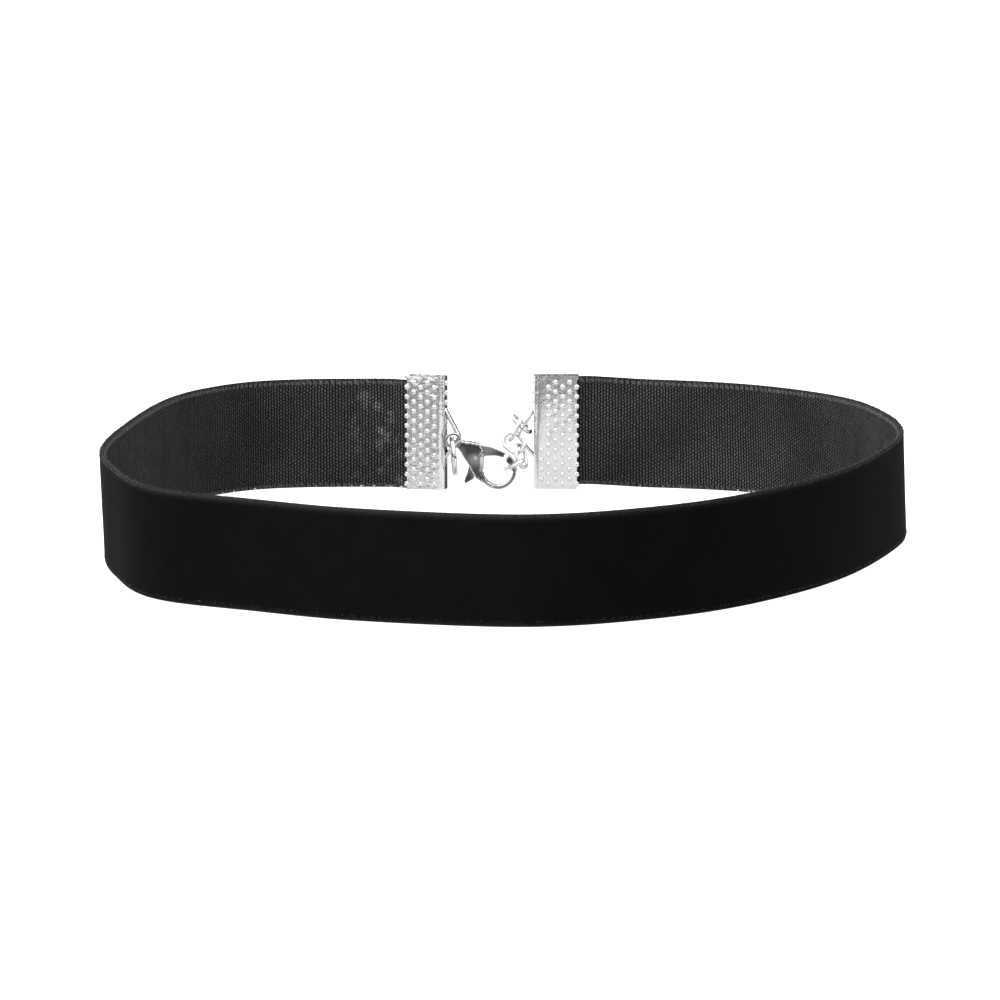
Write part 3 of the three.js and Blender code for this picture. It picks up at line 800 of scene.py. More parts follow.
class CHOKER_OT_backing(bpy.types.Operator):
    """Weave the ribbon's backing, with its upright ribs and its thread loops along both edges"""
    bl_idname = "choker.backing"
    bl_label = "Woven backing"

    def execute(self, context):
        ribbon, crimp, _, colours = sizes(context)
        quarter = ribbon.rib_pitch / 4
        line = ribbon_line(ribbon, crimp, quarter)
        inner = -ribbon.thickness / 2 + ribbon.inset
        outer = inner + ribbon.backing
        edge = BACKING_EDGE
        width = ribbon.width
        profile = [
            (inner + edge, 0.0), (inner, edge), (inner, 0.1 * width), (inner, 0.35 * width),
            (inner, 0.65 * width), (inner, 0.9 * width), (inner, width - edge), (inner + edge, width),
            (outer - edge, width), (outer, width - edge), (outer, edge), (outer - edge, 0.0),
        ]
        rib = 0.5 - 0.5 * np.cos(2 * math.pi * line.run / ribbon.rib_pitch)
        flat = np.zeros_like(rib)
        relief = [-rib * ribbon.rib_height if offset == inner else flat for offset, _ in profile]
        backing = ribbon_wall("woven_backing", line, ribbon, profile, relief)
        finished(backing, backing_finish(colours, ribbon), BODY, ["velvet_ribbon"])
        loops = self.edge_loops(ribbon, line, colours)
        context.scene["ribbon_length"] = float(line.length)
        context.scene["ribbon_trims"] = [piece.name for piece in loops]
        return {"FINISHED"}

    def edge_loops(self, ribbon, line, colours):
        """A row of thread loops along each edge of the backing."""
        finish = selvedge_finish(colours)
        pieces = []
        inner = -ribbon.thickness / 2 + ribbon.inset + ribbon.loop_size * BEAD_DEPTH
        rows = (("upper_selvedge", ribbon.width - ribbon.loop_size * BEADS_DOWN, 3),
                ("lower_selvedge", ribbon.loop_size * BEADS_UP, 4))
        for name, height, seed in rows:
            path = ribbon_points(line, ribbon, inner, height)[BARE_POINTS:-BARE_POINTS:POINT_STEP]
            growth = Growth(name)
            pitch = growth.size("Loop pitch", ribbon.loop_pitch)
            radius = growth.size("Loop size", ribbon.loop_size)
            chance = growth.size("Seed", seed, "NodeSocketInt")
            level = growth.node("GeometryNodeSetCurveNormal", {"Curve": growth.own_curve()}, mode="Z_UP")
            spots = growth.node("GeometryNodeCurveToPoints", {"Curve": level.outputs[0], "Length": pitch},
                                mode="LENGTH").outputs
            bead = growth.node("GeometryNodeMeshUVSphere", {"Segments": 8, "Rings": 6, "Radius": radius})
            shape = growth.node("GeometryNodeTransform", {"Geometry": bead.outputs[0],
                                                          "Rotation": BEAD_TURN, "Scale": BEAD_SHAPE})
            loops = growth.copies(spots["Points"], shape.outputs[0], spots["Rotation"],
                                  growth.scatter(BEAD_LEAST, BEAD_MOST, chance))
            piece = growth.grow(line_object(name, path), loops, finish)
            pieces.append(finished(piece, finish, BODY))
        return pieces


# The pile's rounded rims: share of the pile's rise, and height above the rim's own edge in mm
PILE_ARC = ((0.0, 0.06), (0.3, 0.01), (0.55, 0.04), (0.75, 0.14), (0.89, 0.32), (0.97, 0.56), (1.0, 0.9))
# Heights of the points on the pile's face, as shares of the ribbon's width
PILE_FACE = (0.2, 0.35, 0.5, 0.65, 0.8)
# Distances along the ribbon between the pile's points and between the fringe's
PILE_STEP = 0.45 * MM
FRINGE_STEP = 0.6 * MM
# How deep the pile's root lies in the backing, and how far its face sways in and out
PILE_ROOT = 0.02 * MM
PILE_SWAY = 0.015 * MM
PILE_SEED = 11
# The fringe's lines: share of the pile's rise, and distance in from the rim
FRINGE_LINES = ((0.1, 0.16 * MM), (0.5, 0.12 * MM), (0.9, 0.28 * MM))
FRINGE_SEEDS = (0, 17, 34)
# Share of a fibre's length that a lower fibre's root is raised by
FIBRE_RAISE = 0.85
# How far a fibre's root may stray, how far it may lean and turn in radians, and its least share of length
FIBRE_STRAY = 0.06 * MM
FIBRE_LEAN = (0.5, 0.45, 3.0)
FIBRE_LEAST = 0.35


class CHOKER_OT_pile(bpy.types.Operator):
    """Lay the velvet pile over the backing, with loose fibres along its two edges"""
    bl_idname = "choker.pile"
    bl_label = "Velvet pile"

    def execute(self, context):
        ribbon, crimp, _, colours = sizes(context)
        line = ribbon_line(ribbon, crimp, PILE_STEP)
        outer = ribbon.thickness / 2
        root = -outer + ribbon.inset + ribbon.backing - PILE_ROOT
        rise = outer - root
        top = ribbon.width + ribbon.crown
        lower = [(root + share * rise, ribbon.hem + height * MM) for share, height in PILE_ARC]
        upper = [(root + share * rise, top - height * MM) for share, height in reversed(PILE_ARC)]
        face = [(outer, ribbon.width * share) for share in PILE_FACE]
        profile = [*lower, *face, *upper]
        rng = np.random.default_rng(PILE_SEED)
        rows = len(profile)
        sway = rng.normal(size=(rows, len(line.run))).cumsum(axis=1)
        sway -= np.linspace(0, 1, len(line.run)) * sway[:, -1:]
        sway = sway / np.abs(sway).max() * PILE_SWAY
        sway[[0, -1]] = 0.0
        pile = ribbon_wall("velvet_pile", line, ribbon, profile, sway)
        finished(pile, velvet_finish(colours, ribbon), BODY)
        fringe = self.fringe(ribbon, crimp, colours, root, rise)
        return {"FINISHED"}

    def fringe(self, ribbon, crimp, colours, root, rise):
        """Short fibres that stand out of the pile's upper and lower rim."""
        finish = fibre_finish(colours)
        line = ribbon_line(ribbon, crimp, FRINGE_STEP)
        bare = int(round((ribbon.straight_end - crimp.plate) / FRINGE_STEP)) + 1
        top = ribbon.width + ribbon.crown
        pieces = []
        for name, upright, seed in (("upper_fringe", True, 5), ("lower_fringe", False, 9)):
            whole = None
            for k, (share, inset) in enumerate(FRINGE_LINES):
                height = top - inset if upright else inset + FIBRE_RAISE * ribbon.fibre_length
                path = ribbon_points(line, ribbon, root + share * rise, height)[bare:-bare]
                piece = self.fibres(f"{name}_{k}", path, ribbon, upright, seed + FRINGE_SEEDS[k], finish)
                whole = joined(whole, piece)
            whole.name = name
            pieces.append(finished(whole, finish, BODY))
        return pieces

    def fibres(self, name, path, ribbon, upright, seed, finish):
        """Thin cones scattered along a line, upright or hanging."""
        growth = Growth(name)
        count = growth.size("Fibres", ribbon.fibre_count // 2, "NodeSocketInt")
        length = growth.size("Fibre length", ribbon.fibre_length)
        radius = growth.size("Fibre radius", ribbon.fibre_radius)
        chance = growth.size("Seed", seed, "NodeSocketInt")
        spots = growth.node("GeometryNodeCurveToPoints", {"Curve": growth.own_curve(), "Count": count},
                            mode="COUNT")
        stray = growth.scatter((-FIBRE_STRAY,) * 3, (FIBRE_STRAY,) * 3, chance)
        moved = growth.node("GeometryNodeSetPosition", {"Geometry": spots.outputs["Points"], "Offset": stray})
        cone = growth.node("GeometryNodeMeshCone", {"Vertices": 3, "Radius Top": 0.0, "Radius Bottom": radius,
                                                    "Depth": length}, fill_type="NONE")
        lean = growth.scatter(tuple(-angle for angle in FIBRE_LEAN), FIBRE_LEAN, chance)
        half_turn = (0.0 if upright else math.pi, 0.0, 0.0)
        aim = growth.node("ShaderNodeVectorMath", {0: lean, 1: half_turn}, operation="ADD")
        stretch = growth.scatter((1.0, 1.0, FIBRE_LEAST), (1.0, 1.0, 1.0), chance)
        hairs = growth.copies(moved.outputs[0], cone.outputs[0], aim.outputs[0], stretch)
        return growth.grow(line_object(name, path), hairs, finish)


def joined(whole, piece):
    """Adds a piece's mesh to another object and removes the piece."""
    if whole is None:
        return piece
    edit = bmesh.new()
    edit.from_mesh(whole.data)
    edit.from_mesh(piece.data)
    edit.to_mesh(whole.data)
    edit.free()
    bpy.data.objects.remove(piece)
    return whole


# How finely a crimp's plate is divided: along it, round its bend and up it
PLATE_STEPS = 12
BEND_STEPS = 5
PLATE_ROWS = 96
# Places of the points across the fold's flat middle
FOLD_MIDDLE = (-0.3 * MM, 0.0, 0.3 * MM)
# Edges of the plate sharper than this stay crisp
CRISP = math.radians(50)
# Height of a column's first dot, in row pitches: even columns, then odd ones
DOT_STARTS = (0.55, 1.05)
# Space kept free of dots below the rim, and above the strap and below the rim on the fold, in row pitches
RIM_SPACE = 0.35
FOLD_FROM = 0.6
FOLD_SPACE = 0.3
# How much of a tooth stands out of the mouth
TOOTH_SHARE = 0.8
# The strap's bow: how far its shoulders stand from the peak as a share of its upper half, and their reach
SHOULDER = 0.27
UPPER_REACH = 0.65
LOWER_REACH = 0.62
STRAP_SAMPLES = 7
# Bevel of the strap's corners, as a share of its half thickness
STRAP_BEVEL = 0.6


class CHOKER_OT_crimps(bpy.types.Operator):
    """Fold the two stamped crimps, with their raised dots, toothed mouths and lanced straps"""
    bl_idname = "choker.crimps"
    bl_label = "Crimps"

    def execute(self, context):
        ribbon, crimp, _, colours = sizes(context)
        finish = stamped_finish(colours, crimp)
        # The dots' finish is painted brighter than the sheet, as a painted highlight.
        rubbed = dot_finish(colours)
        for spine in (LEFT_SPINE, RIGHT_SPINE):
            place, _ = spine_place(spine, ribbon, crimp)
            x, y = place + plan_shift(ribbon, crimp)
            turn = Matrix.Translation((x, y, 0.0)) @ Matrix.Rotation(math.radians(spine.turn), 4, "Z")
            length = getattr(crimp, spine.size)
            plate = self.plate(spine.node + "_plate", crimp, length)
            plate = joined(plate, self.strap(crimp, spine.reach * MM))
            plate.data.transform(turn)
            finished(plate, finish, BODY, [spine.node])
            dots = self.dots(spine.node + "_dots", crimp, length, rubbed)
            dots.data.transform(turn)
            finished(dots, rubbed, BODY)
        return {"FINISHED"}

    def fold_path(self, crimp, length):
        """The outer face in plan, from the front mouth round the fold to the back mouth."""
        half = crimp.depth / 2
        bend = crimp.bend
        slot = crimp.strap_width / 2 + crimp.slot_clearance
        flat = [-length + (length - bend) * k / PLATE_STEPS for k in range(PLATE_STEPS)]
        arc = [math.radians(90 * k / BEND_STEPS) for k in range(BEND_STEPS + 1)]
        front = [(x, -half) for x in flat]
        front += [(-bend + bend * math.sin(a), -half + bend - bend * math.cos(a)) for a in arc]
        front += [(0.0, -slot)] if slot < half - bend else []
        middle = [(0.0, y) for y in FOLD_MIDDLE]
        return front + middle + [(x, -y) for x, y in reversed(front)]

    def plate(self, name, crimp, length):
        """The folded sheet, with its toothed mouths and the slot that the strap leaves."""
        path = self.fold_path(crimp, length)
        heights = [crimp.height * r / (PLATE_ROWS - 1) for r in range(PLATE_ROWS)]
        last = len(path) - 1
        vertices = []
        for c, (x, y) in enumerate(path):
            mouth = c in (0, last)
            for z in heights:
                reach = self.tooth_reach(crimp, z) if mouth else 0.0
                vertices.append((x - reach, y, z))
        low = crimp.strap_bottom + crimp.strap_thickness / 2
        high = crimp.strap_top - crimp.strap_thickness / 2
        slot = crimp.strap_width / 2 + crimp.slot_clearance
        faces = []
        for face in grid_faces(len(path), PLATE_ROWS):
            middle = sum((Vector(vertices[i]) for i in face), Vector()) / 4
            in_slot = middle.x > -crimp.bend / 2 and abs(middle.y) < slot and low < middle.z < high
            if not in_slot:
                faces.append(face)
        obj = outward_plate(mesh_object(name, vertices, faces))
        solid = obj.modifiers.new("wall", "SOLIDIFY")
        solid.thickness = crimp.plate
        solid.offset = -1.0
        solid.use_even_offset = True
        settled(obj)
        obj.data.shade_smooth()
        obj.data.set_sharp_from_angle(angle=CRISP)
        return obj

    def tooth_reach(self, crimp, height):
        """How far the mouth's edge stands out at a height: one round tooth at each dot of the edge column."""
        first = crimp.row_pitch * DOT_STARTS[0]
        nearest = first + round((height - first) / crimp.row_pitch) * crimp.row_pitch
        away = abs(height - nearest) / crimp.tooth
        return crimp.tooth * math.sqrt(max(0.0, 1 - away * away)) * TOOTH_SHARE

    def strap(self, crimp, reach):
        """The lanced strap, bowed out of the fold."""
        half = crimp.strap_thickness / 2
        shoulder = (crimp.strap_top - crimp.strap_peak) * SHOULDER
        line = centripetal([
            (-half, 0.0, crimp.strap_top),
            (reach * UPPER_REACH, 0.0, crimp.strap_peak + shoulder),
            (reach - half, 0.0, crimp.strap_peak),
            (reach * LOWER_REACH, 0.0, crimp.strap_peak - shoulder),
            (-half, 0.0, crimp.strap_bottom),
        ], STRAP_SAMPLES)
        side = crimp.strap_width / 2
        flat_side, flat_face = side - half * STRAP_BEVEL, half - half * STRAP_BEVEL
        section = [(side, -flat_face), (side, flat_face), (flat_side, half), (-flat_side, half),
                   (-side, flat_face), (-side, -flat_face), (-flat_side, -half), (flat_side, -half)]
        vertices = []
        for i, point in enumerate(line):
            along = line[min(i + 1, len(line) - 1)] - line[max(i - 1, 0)]
            along = along / np.linalg.norm(along)
            normal = np.array([-along[2], 0.0, along[0]])
            vertices += [point + np.array([0.0, y, 0.0]) + normal * n for y, n in section]
        return outward_normals(mesh_object("strap", vertices, bar_faces(len(line), len(section))))

    def dots(self, name, crimp, length, finish):
        """Raised dots on both plates and up the fold above the strap."""
        points, turns = [], []
        columns = int((length - crimp.bend) / crimp.column_pitch)
        above_strap = crimp.strap_bottom + crimp.row_pitch
        below_rim = crimp.height - RIM_SPACE * crimp.row_pitch
        for side, turn in ((-1, math.pi / 2), (1, -math.pi / 2)):
            for column in range(columns + 1):
                z = crimp.row_pitch * DOT_STARTS[column % 2]
                x = -length + column * crimp.column_pitch
                end = above_strap if x > -crimp.fold_margin else below_rim
                while z < end:
                    points.append((x, side * crimp.depth / 2, z))
                    turns.append((turn, 0.0, 0.0))
                    z += crimp.row_pitch
        z = crimp.strap_top + FOLD_FROM * crimp.row_pitch
        while z < crimp.height - FOLD_SPACE * crimp.row_pitch:
            points.append((0.0, 0.0, z))
            turns.append((0.0, math.pi / 2, 0.0))
            z += crimp.row_pitch
        growth = Growth(name)
        radius = growth.size("Dot radius", crimp.dot_radius)
        rise = growth.size("Dot rise", crimp.dot_rise)
        ball = growth.node("GeometryNodeMeshUVSphere", {"Segments": 12, "Rings": 8, "Radius": 1.0})
        size = growth.node("ShaderNodeCombineXYZ", {"X": radius, "Y": radius, "Z": rise})
        dome = growth.node("GeometryNodeTransform", {"Geometry": ball.outputs[0], "Scale": size.outputs[0]})
        domes = growth.copies(growth.inputs.outputs[0], dome.outputs[0], growth.own_turns())
        return growth.grow(point_object(name, points, turns), domes, finish)


def outward_plate(obj):
    """Turns an open folded sheet so that its faces point away from its middle."""
    edit = bmesh.new()
    edit.from_mesh(obj.data)
    edit.normal_update()
    front = min(edit.faces, key=lambda face: face.calc_center_median().y)
    if front.normal.y > 0:
        bmesh.ops.reverse_faces(edit, faces=edit.faces)
    edit.to_mesh(obj.data)
    edit.free()
    return obj


# How finely the wires are divided along and round them, and the width of the jump ring's cut
RING_STEPS, RING_SIDES = 48, 14
LINK_STEPS, LINK_SIDES = 36, 12
RING_CUT = 0.1 * MM


class CHOKER_OT_wires(bpy.types.Operator):
    """Bend the jump ring and the chain's oval links from round wire"""
    bl_idname = "choker.wires"
    bl_label = "Jump ring and chain"

    def execute(self, context):
        _, _, fittings, colours = sizes(context)
        finish = wire_finish(colours)
        finished(self.ring(fittings), finish, BODY, ["jump_ring"])
        names = sorted(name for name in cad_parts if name.startswith("extension_link_"))
        places = [wire_place(name) for name in names]
        growth = Growth("chain_links")
        half_length = growth.size("Half length", fittings.link_half_length)
        half_width = growth.size("Half width", fittings.link_half_width)
        wire = growth.size("Wire radius", fittings.link_wire)
        circle = growth.node("GeometryNodeCurvePrimitiveCircle",
                             {"Resolution": LINK_STEPS, "Radius": half_width})
        place = growth.node("GeometryNodeInputPosition")
        split = growth.node("ShaderNodeSeparateXYZ", {"Vector": place.outputs[0]})
        straight = growth.math("SUBTRACT", half_length, half_width)
        side = growth.math("SIGN", split.outputs["X"], 0.0)
        shift = growth.node("ShaderNodeCombineXYZ", {"X": growth.math("MULTIPLY", side, straight)})
        oval = growth.node("GeometryNodeSetPosition",
                           {"Geometry": circle.outputs[0], "Offset": shift.outputs[0]})
        section = growth.node("GeometryNodeCurvePrimitiveCircle", {"Resolution": LINK_SIDES, "Radius": wire})
        link = growth.node("GeometryNodeCurveToMesh", {"Curve": oval.outputs[0],
                                                       "Profile Curve": section.outputs[0]})
        links = growth.copies(growth.inputs.outputs[0], link.outputs[0], growth.own_turns())
        start = point_object("chain_links", [centre for centre, _ in places],
                             [turn.to_euler() for _, turn in places])
        chain = growth.grow(start, links, finish)
        finished(outward_normals(chain), finish, BODY, names)
        return {"FINISHED"}

    def ring(self, fittings):
        """The jump ring, open by a hair at its cut."""
        centre, turn = wire_place("jump_ring")
        flat = [turn.inverted() @ (Vector(p) - centre) for p in node_points("jump_ring")]
        angles = np.sort([math.atan2(p.y, p.x) for p in flat])
        gaps = np.diff(np.append(angles, angles[0] + 2 * math.pi))
        widest = int(np.argmax(gaps))
        cut = angles[widest] + gaps[widest] / 2
        half_cut = RING_CUT / 2 / fittings.ring_radius
        points = []
        for k in range(RING_STEPS + 1):
            angle = cut + half_cut + (2 * math.pi - 2 * half_cut) * k / RING_STEPS
            flat_point = Vector((math.cos(angle), math.sin(angle), 0.0)) * fittings.ring_radius
            points.append(centre + turn @ flat_point)
        return round_wire("jump_ring_wire", points, fittings.ring_wire, RING_SIDES)


# Rounds of smoothing that a casting gets, and sides of the plugs in its bore
TUMBLE_ROUNDS = 3
PLUG_SIDES = 24
# How worn the lever's flat faces are, from 0 to 1
LEVER_FACE_LIGHT = 0.3
# Cells of the grid that finds the clasp's outline, in cast grains
OUTLINE_CELL = 1.5
# What the doming leaves of the clasp's thickness at its outline, and what it adds towards the middle
DOME_FOOT = 0.15
DOME_SWELL = 0.9
# The rivet's head: how far it stands proud, its flat part and that part's height as shares, and its sides
HEAD_RISE = 0.04 * MM
HEAD_FLAT = 0.6
HEAD_STEP = 0.7
RIVET_SIDES = 20


class CHOKER_OT_clasp(bpy.types.Operator):
    """Cast the lobster clasp: body, thumb lever and rivet"""
    bl_idname = "choker.clasp"
    bl_label = "Lobster clasp"

    def execute(self, context):
        _, _, fittings, colours = sizes(context)
        finish = cast_finish(colours)
        low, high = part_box("clasp_rivet")
        inset = fittings.plug / 2
        plugs = [((low.x + high.x) / 2, y, (low.z + high.z) / 2) for y in (low.y + inset, high.y - inset)]
        body = self.cast("clasp_body_cast", "clasp_body", fittings, plugs)
        self.dome(body, self.mark_rims(body, fittings), fittings)
        finished(body, finish, BODY, ["clasp_body"])
        lever = self.cast("clasp_lever_cast", "clasp_lever", fittings)
        self.mark_rims(lever, fittings, least=LEVER_FACE_LIGHT)
        finished(lever, finish, LEVER_BODY, ["clasp_lever"])
        finished(self.rivet(fittings), finish, BODY, ["clasp_rivet"])
        return {"FINISHED"}

    def cast(self, name, node, fittings, plugs=()):
        """A solid's own shape with its edges rounded, as a tumbled casting has them, and bores closed."""
        obj = placed(name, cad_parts[node].data.copy())
        edit = bmesh.new()
        edit.from_mesh(obj.data)
        bmesh.ops.remove_doubles(edit, verts=edit.verts, dist=0.001 * MM)
        wide = fittings.rivet_radius * 2
        for place in plugs:
            turn = Matrix.Translation(place) @ Matrix.Rotation(math.pi / 2, 4, "X")
            bmesh.ops.create_cone(edit, cap_ends=True, segments=PLUG_SIDES, radius1=wide,
                                  radius2=wide, depth=fittings.plug, matrix=turn)
        bmesh.ops.scale(edit, vec=(1 / MM,) * 3, verts=edit.verts)
        edit.to_mesh(obj.data)
        edit.free()
        cells = obj.modifiers.new("cells", "REMESH")
        cells.mode = "VOXEL"
        cells.voxel_size = fittings.cast_grain / MM
        tumble = obj.modifiers.new("tumble", "SMOOTH")
        tumble.factor = 0.5
        tumble.iterations = TUMBLE_ROUNDS
        settled(obj)
        obj.data.transform(Matrix.Scale(MM, 4))
        obj.data.shade_smooth()
        return obj

    def mark_rims(self, obj, fittings, least=0.0):
        """Finds how far in each point lies from the outline seen from the front, and marks the rims for the
        painted highlight.

        least is how much of the painted rim highlight the faces between the rims get.
        """
        mesh = obj.data
        plan = mesh_points(mesh)[:, [0, 2]]
        cell = fittings.cast_grain * OUTLINE_CELL
        taken = np.round((plan - plan.min(axis=0)) / cell).astype(int) + 1
        filled = np.zeros(taken.max(axis=0) + 2, dtype=bool)
        filled[taken[:, 0], taken[:, 1]] = True
        rim = filled & ~(np.roll(filled, 1, 0) & np.roll(filled, -1, 0) & np.roll(filled, 1, 1)
                         & np.roll(filled, -1, 1))
        rims = (np.argwhere(rim) - 1) * cell + plan.min(axis=0)
        away = np.array([np.sqrt(((rims - point) ** 2).sum(axis=1).min()) for point in plan])
        rim_highlight = mesh.attributes.new("rim_highlight", "FLOAT", "POINT")
        rim_highlight.data.foreach_set("value", np.maximum(least, 1.0 - away / fittings.rim_highlight_reach))
        return away

    def dome(self, obj, away, fittings):
        """Swells the body's two outer faces, so that they fall away towards their outlines."""
        mesh = obj.data
        points = mesh_points(mesh)
        low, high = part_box("clasp_body")
        middle = (low.y + high.y) / 2
        deep = points[:, 1] - middle
        share = np.clip(away / fittings.dome_reach, 0.0, 1.0)
        round_share = np.sqrt(1 - (1 - share) ** 2)
        kept = fittings.slot_wall
        beyond = np.maximum(np.abs(deep) - kept, 0.0)
        swell = DOME_FOOT + DOME_SWELL * round_share
        deep = np.sign(deep) * (np.minimum(np.abs(deep), kept) + beyond * swell)
        points[:, 1] = middle + deep
        mesh.vertices.foreach_set("co", points.ravel())
        mesh.update()

    def rivet(self, fittings):
        """A pin whose two ends are peened flush."""
        low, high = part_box("clasp_rivet")
        centre = (low + high) / 2
        half = (high.y - low.y) / 2
        radius = fittings.rivet_radius
        profile = [(0.0, half + HEAD_RISE), (radius * HEAD_FLAT, half + HEAD_RISE * HEAD_STEP),
                   (radius, half - HEAD_RISE)]
        profile += [(r, -reach) for r, reach in reversed(profile)]
        vertices = []
        for r, y in profile[1:-1]:
            for k in range(RIVET_SIDES):
                angle = 2 * math.pi * k / RIVET_SIDES
                across, up = r * math.cos(angle), r * math.sin(angle)
                vertices.append((centre.x + across, centre.y + y, centre.z + up))
        rings = len(profile) - 2
        faces = grid_faces(rings, RIVET_SIDES, closed_rows=True)
        for ring, (_, y) in ((0, profile[0]), (rings - 1, profile[-1])):
            tip, first = len(vertices), ring * RIVET_SIDES
            vertices.append((centre.x, centre.y + y, centre.z))
            faces += [(tip, first + k, first + (k + 1) % RIVET_SIDES) for k in range(RIVET_SIDES)]
        return outward_normals(mesh_object("clasp_rivet_pin", vertices, faces))


# The floor: half its side, and how far it lies under the choker
FLOOR_REACH = 12.0
FLOOR_DROP = -0.02 * MM
# The room's dark flags: the way each faces, the nearness to that way where it starts and where it is full,
# the heights between which it comes in and those between which it goes out, and how much it dims
Flag = namedtuple("Flag", "way start full comes_in goes_out depth")
FRONT_FLAG = Flag((0.0, -1.0, 0.0), 0.42, 0.75, (-0.3, -0.16), (0.27, 0.42), 0.66)
SIDE_FLAG = Flag((0.46, 0.88, 0.0), 0.8, 0.95, (-0.7, -0.5), (0.1, 0.4), 0.9)
BACK_FLAG = Flag((0.0, 1.0, 0.0), 0.82, 0.96, (-0.35, -0.15), (0.25, 0.5), 0.6)
# How steeply the front flag leans across the view
FLAG_SLOPE = -1.15
# The room between its flags: from and to which height it brightens, and its levels there
ROOM_UPWARD = (-0.6, 0.9, 1.0, 1.6)
ROOM_FOOT = (-1.0, -0.72, 0.35, 1.0)
# The soft light on the cloth: its way and strength, its level without direction, and its least level
CLOTH_LIGHT = (-0.84, -1.42, 0.0)
CLOTH_LEVEL = 0.4
CLOTH_LEAST = 0.02
BACKDROP = (0.97, 0.97, 0.97, 1.0)
# The softbox: its place, its side in metres and its power in watts
LAMP_PLACE = Vector((-0.25, 0.25, 1.0))
LAMP_SIDE = 1.0
LAMP_POWER = 3.6


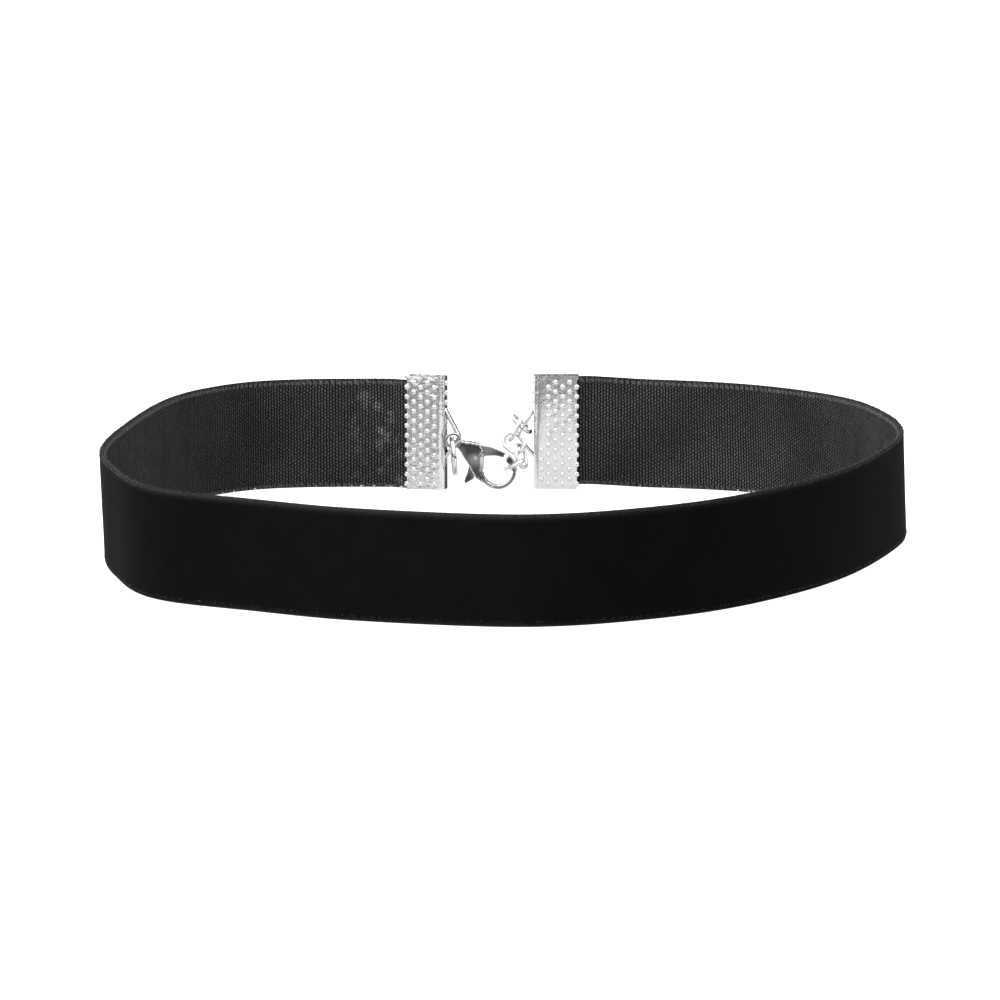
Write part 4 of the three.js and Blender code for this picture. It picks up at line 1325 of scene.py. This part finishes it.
class CHOKER_OT_stage(bpy.types.Operator):
    """Set the pale floor, the soft studio light and the camera"""
    bl_idname = "choker.stage"
    bl_label = "Stage"

    def execute(self, context):
        colours = context.scene.choker_colours
        self.floor(colours)
        self.surroundings(context)
        self.softbox()
        self.camera(context)
        context.scene.view_settings.view_transform = "Standard"
        return {"FINISHED"}

    def floor(self, colours):
        """A wide pale floor that lights nothing and shows in no metal."""
        signs = ((-1, -1), (1, -1), (1, 1), (-1, 1))
        corners = [(x * FLOOR_REACH, y * FLOOR_REACH, FLOOR_DROP) for x, y in signs]
        floor = mesh_object("floor", corners, [(0, 1, 2, 3)], smooth=False)
        floor.data.materials.append(floor_finish(colours))
        floor.visible_glossy = False
        floor.visible_diffuse = False

    def surroundings(self, context):
        """A white backdrop, a pale room with dark flags for the metal, and a soft light for the cloth."""
        world = bpy.data.worlds.new("room")
        context.scene.world = world
        world.use_nodes = True
        tree = world.node_tree
        tree.nodes.clear()

        def node(kind, links, **values):
            made = tree.nodes.new(kind)
            for name, value in values.items():
                setattr(made, name, value)
            for name, source in links.items():
                if isinstance(source, bpy.types.NodeSocket):
                    tree.links.new(source, made.inputs[name])
                else:
                    made.inputs[name].default_value = source
            return made

        def ramp(source, low, high, start=0.0, end=1.0):
            return node("ShaderNodeMapRange", {"Value": source, "From Min": low, "From Max": high,
                                               "To Min": start, "To Max": end},
                        interpolation_type="SMOOTHSTEP").outputs["Result"]

        def maths(operation, *values):
            return node("ShaderNodeMath", dict(enumerate(values)), operation=operation).outputs[0]

        def product(first, second):
            return maths("MULTIPLY", first, second)

        def light(level):
            return node("ShaderNodeBackground", {"Color": level, "Strength": 1.0}).outputs[0]

        def towards(way):
            return node("ShaderNodeVectorMath", {0: direction, 1: way},
                        operation="DOT_PRODUCT").outputs["Value"]

        def dimmed(flag, rise):
            """What a flag leaves of the room's light."""
            band = product(ramp(rise, *flag.comes_in), ramp(rise, *flag.goes_out, 1.0, 0.0))
            patch = product(ramp(towards(flag.way), flag.start, flag.full), band)
            return ramp(patch, 0.0, 1.0, 1.0, 1.0 - flag.depth)

        direction = node("ShaderNodeTexCoord", {}).outputs["Generated"]
        parts = node("ShaderNodeSeparateXYZ", {"Vector": direction}).outputs
        height = parts["Z"]
        sloped = maths("MULTIPLY_ADD", parts["X"], FLAG_SLOPE, height)
        room = product(ramp(height, *ROOM_UPWARD), ramp(height, *ROOM_FOOT))
        flags = product(dimmed(FRONT_FLAG, sloped), dimmed(SIDE_FLAG, height))
        mirrored = light(product(product(room, dimmed(BACK_FLAG, height)), flags))
        fore = maths("MAXIMUM", maths("ADD", towards(CLOTH_LIGHT), CLOTH_LEVEL), CLOTH_LEAST)
        around = light(maths("ADD", fore, ramp(parts["Y"], 0.1, 0.9)))
        path = node("ShaderNodeLightPath", {}).outputs
        unseen = node("ShaderNodeMixShader", {"Fac": path["Is Glossy Ray"], 1: around, 2: mirrored})
        whole = node("ShaderNodeMixShader", {"Fac": path["Is Camera Ray"], 1: unseen.outputs[0],
                                             2: light(BACKDROP)})
        node("ShaderNodeOutputWorld", {"Surface": whole.outputs[0]})

    def softbox(self):
        """A wide softbox overhead, a little behind the choker and to its left."""
        light = bpy.data.lights.new("softbox", "AREA")
        light.size = LAMP_SIDE
        light.energy = LAMP_POWER
        lamp = placed("softbox", light)
        lamp.location = LAMP_PLACE
        lamp.rotation_euler = (-LAMP_PLACE).to_track_quat("-Z", "Y").to_euler()

    def camera(self, context):
        """A long lens far in front, as the photograph was taken."""
        data = bpy.data.cameras.new("camera")
        data.sensor_width = VIEW_SENSOR
        data.lens = VIEW_LENS
        data.clip_start, data.clip_end = VIEW_CLIP
        camera = placed("camera", data)
        back = Vector((0.0, -math.cos(VIEW_RISE), math.sin(VIEW_RISE)))
        camera.location = VIEW_AIM + back * VIEW_DISTANCE
        camera.rotation_euler = (-back).to_track_quat("-Z", "Y").to_euler()
        context.scene.camera = camera


class CHOKER_PT_panel(bpy.types.Panel):
    """Sizes, colours and pieces of the choker"""
    bl_label = "Choker"
    bl_space_type = "VIEW_3D"
    bl_region_type = "UI"
    bl_category = "Choker"

    def draw(self, context):
        layout = self.layout
        for operator in OPERATORS:
            layout.operator(operator.bl_idname)
        for group in sizes(context):
            box = layout.box()
            for name in group.__annotations__:
                box.prop(group, name)


GROUPS = {
    "choker_ribbon": RibbonSizes,
    "choker_crimp": CrimpSizes,
    "choker_fittings": FittingSizes,
    "choker_colours": FinishColours,
}
OPERATORS = (CHOKER_OT_backing, CHOKER_OT_pile, CHOKER_OT_crimps, CHOKER_OT_wires, CHOKER_OT_clasp,
             CHOKER_OT_stage)
CLASSES = (*GROUPS.values(), *OPERATORS, CHOKER_PT_panel)


def register():
    for cls in CLASSES:
        bpy.utils.register_class(cls)
    for name, group in GROUPS.items():
        setattr(bpy.types.Scene, name, PointerProperty(type=group))


def unregister():
    for name in GROUPS:
        delattr(bpy.types.Scene, name)
    for cls in reversed(CLASSES):
        bpy.utils.unregister_class(cls)


def main():
    register()
    bpy.ops.choker.backing()
    bpy.ops.choker.pile()
    bpy.ops.choker.crimps()
    bpy.ops.choker.wires()
    bpy.ops.choker.clasp()
    bpy.ops.choker.stage()


if __name__ == "__main__":
    main()
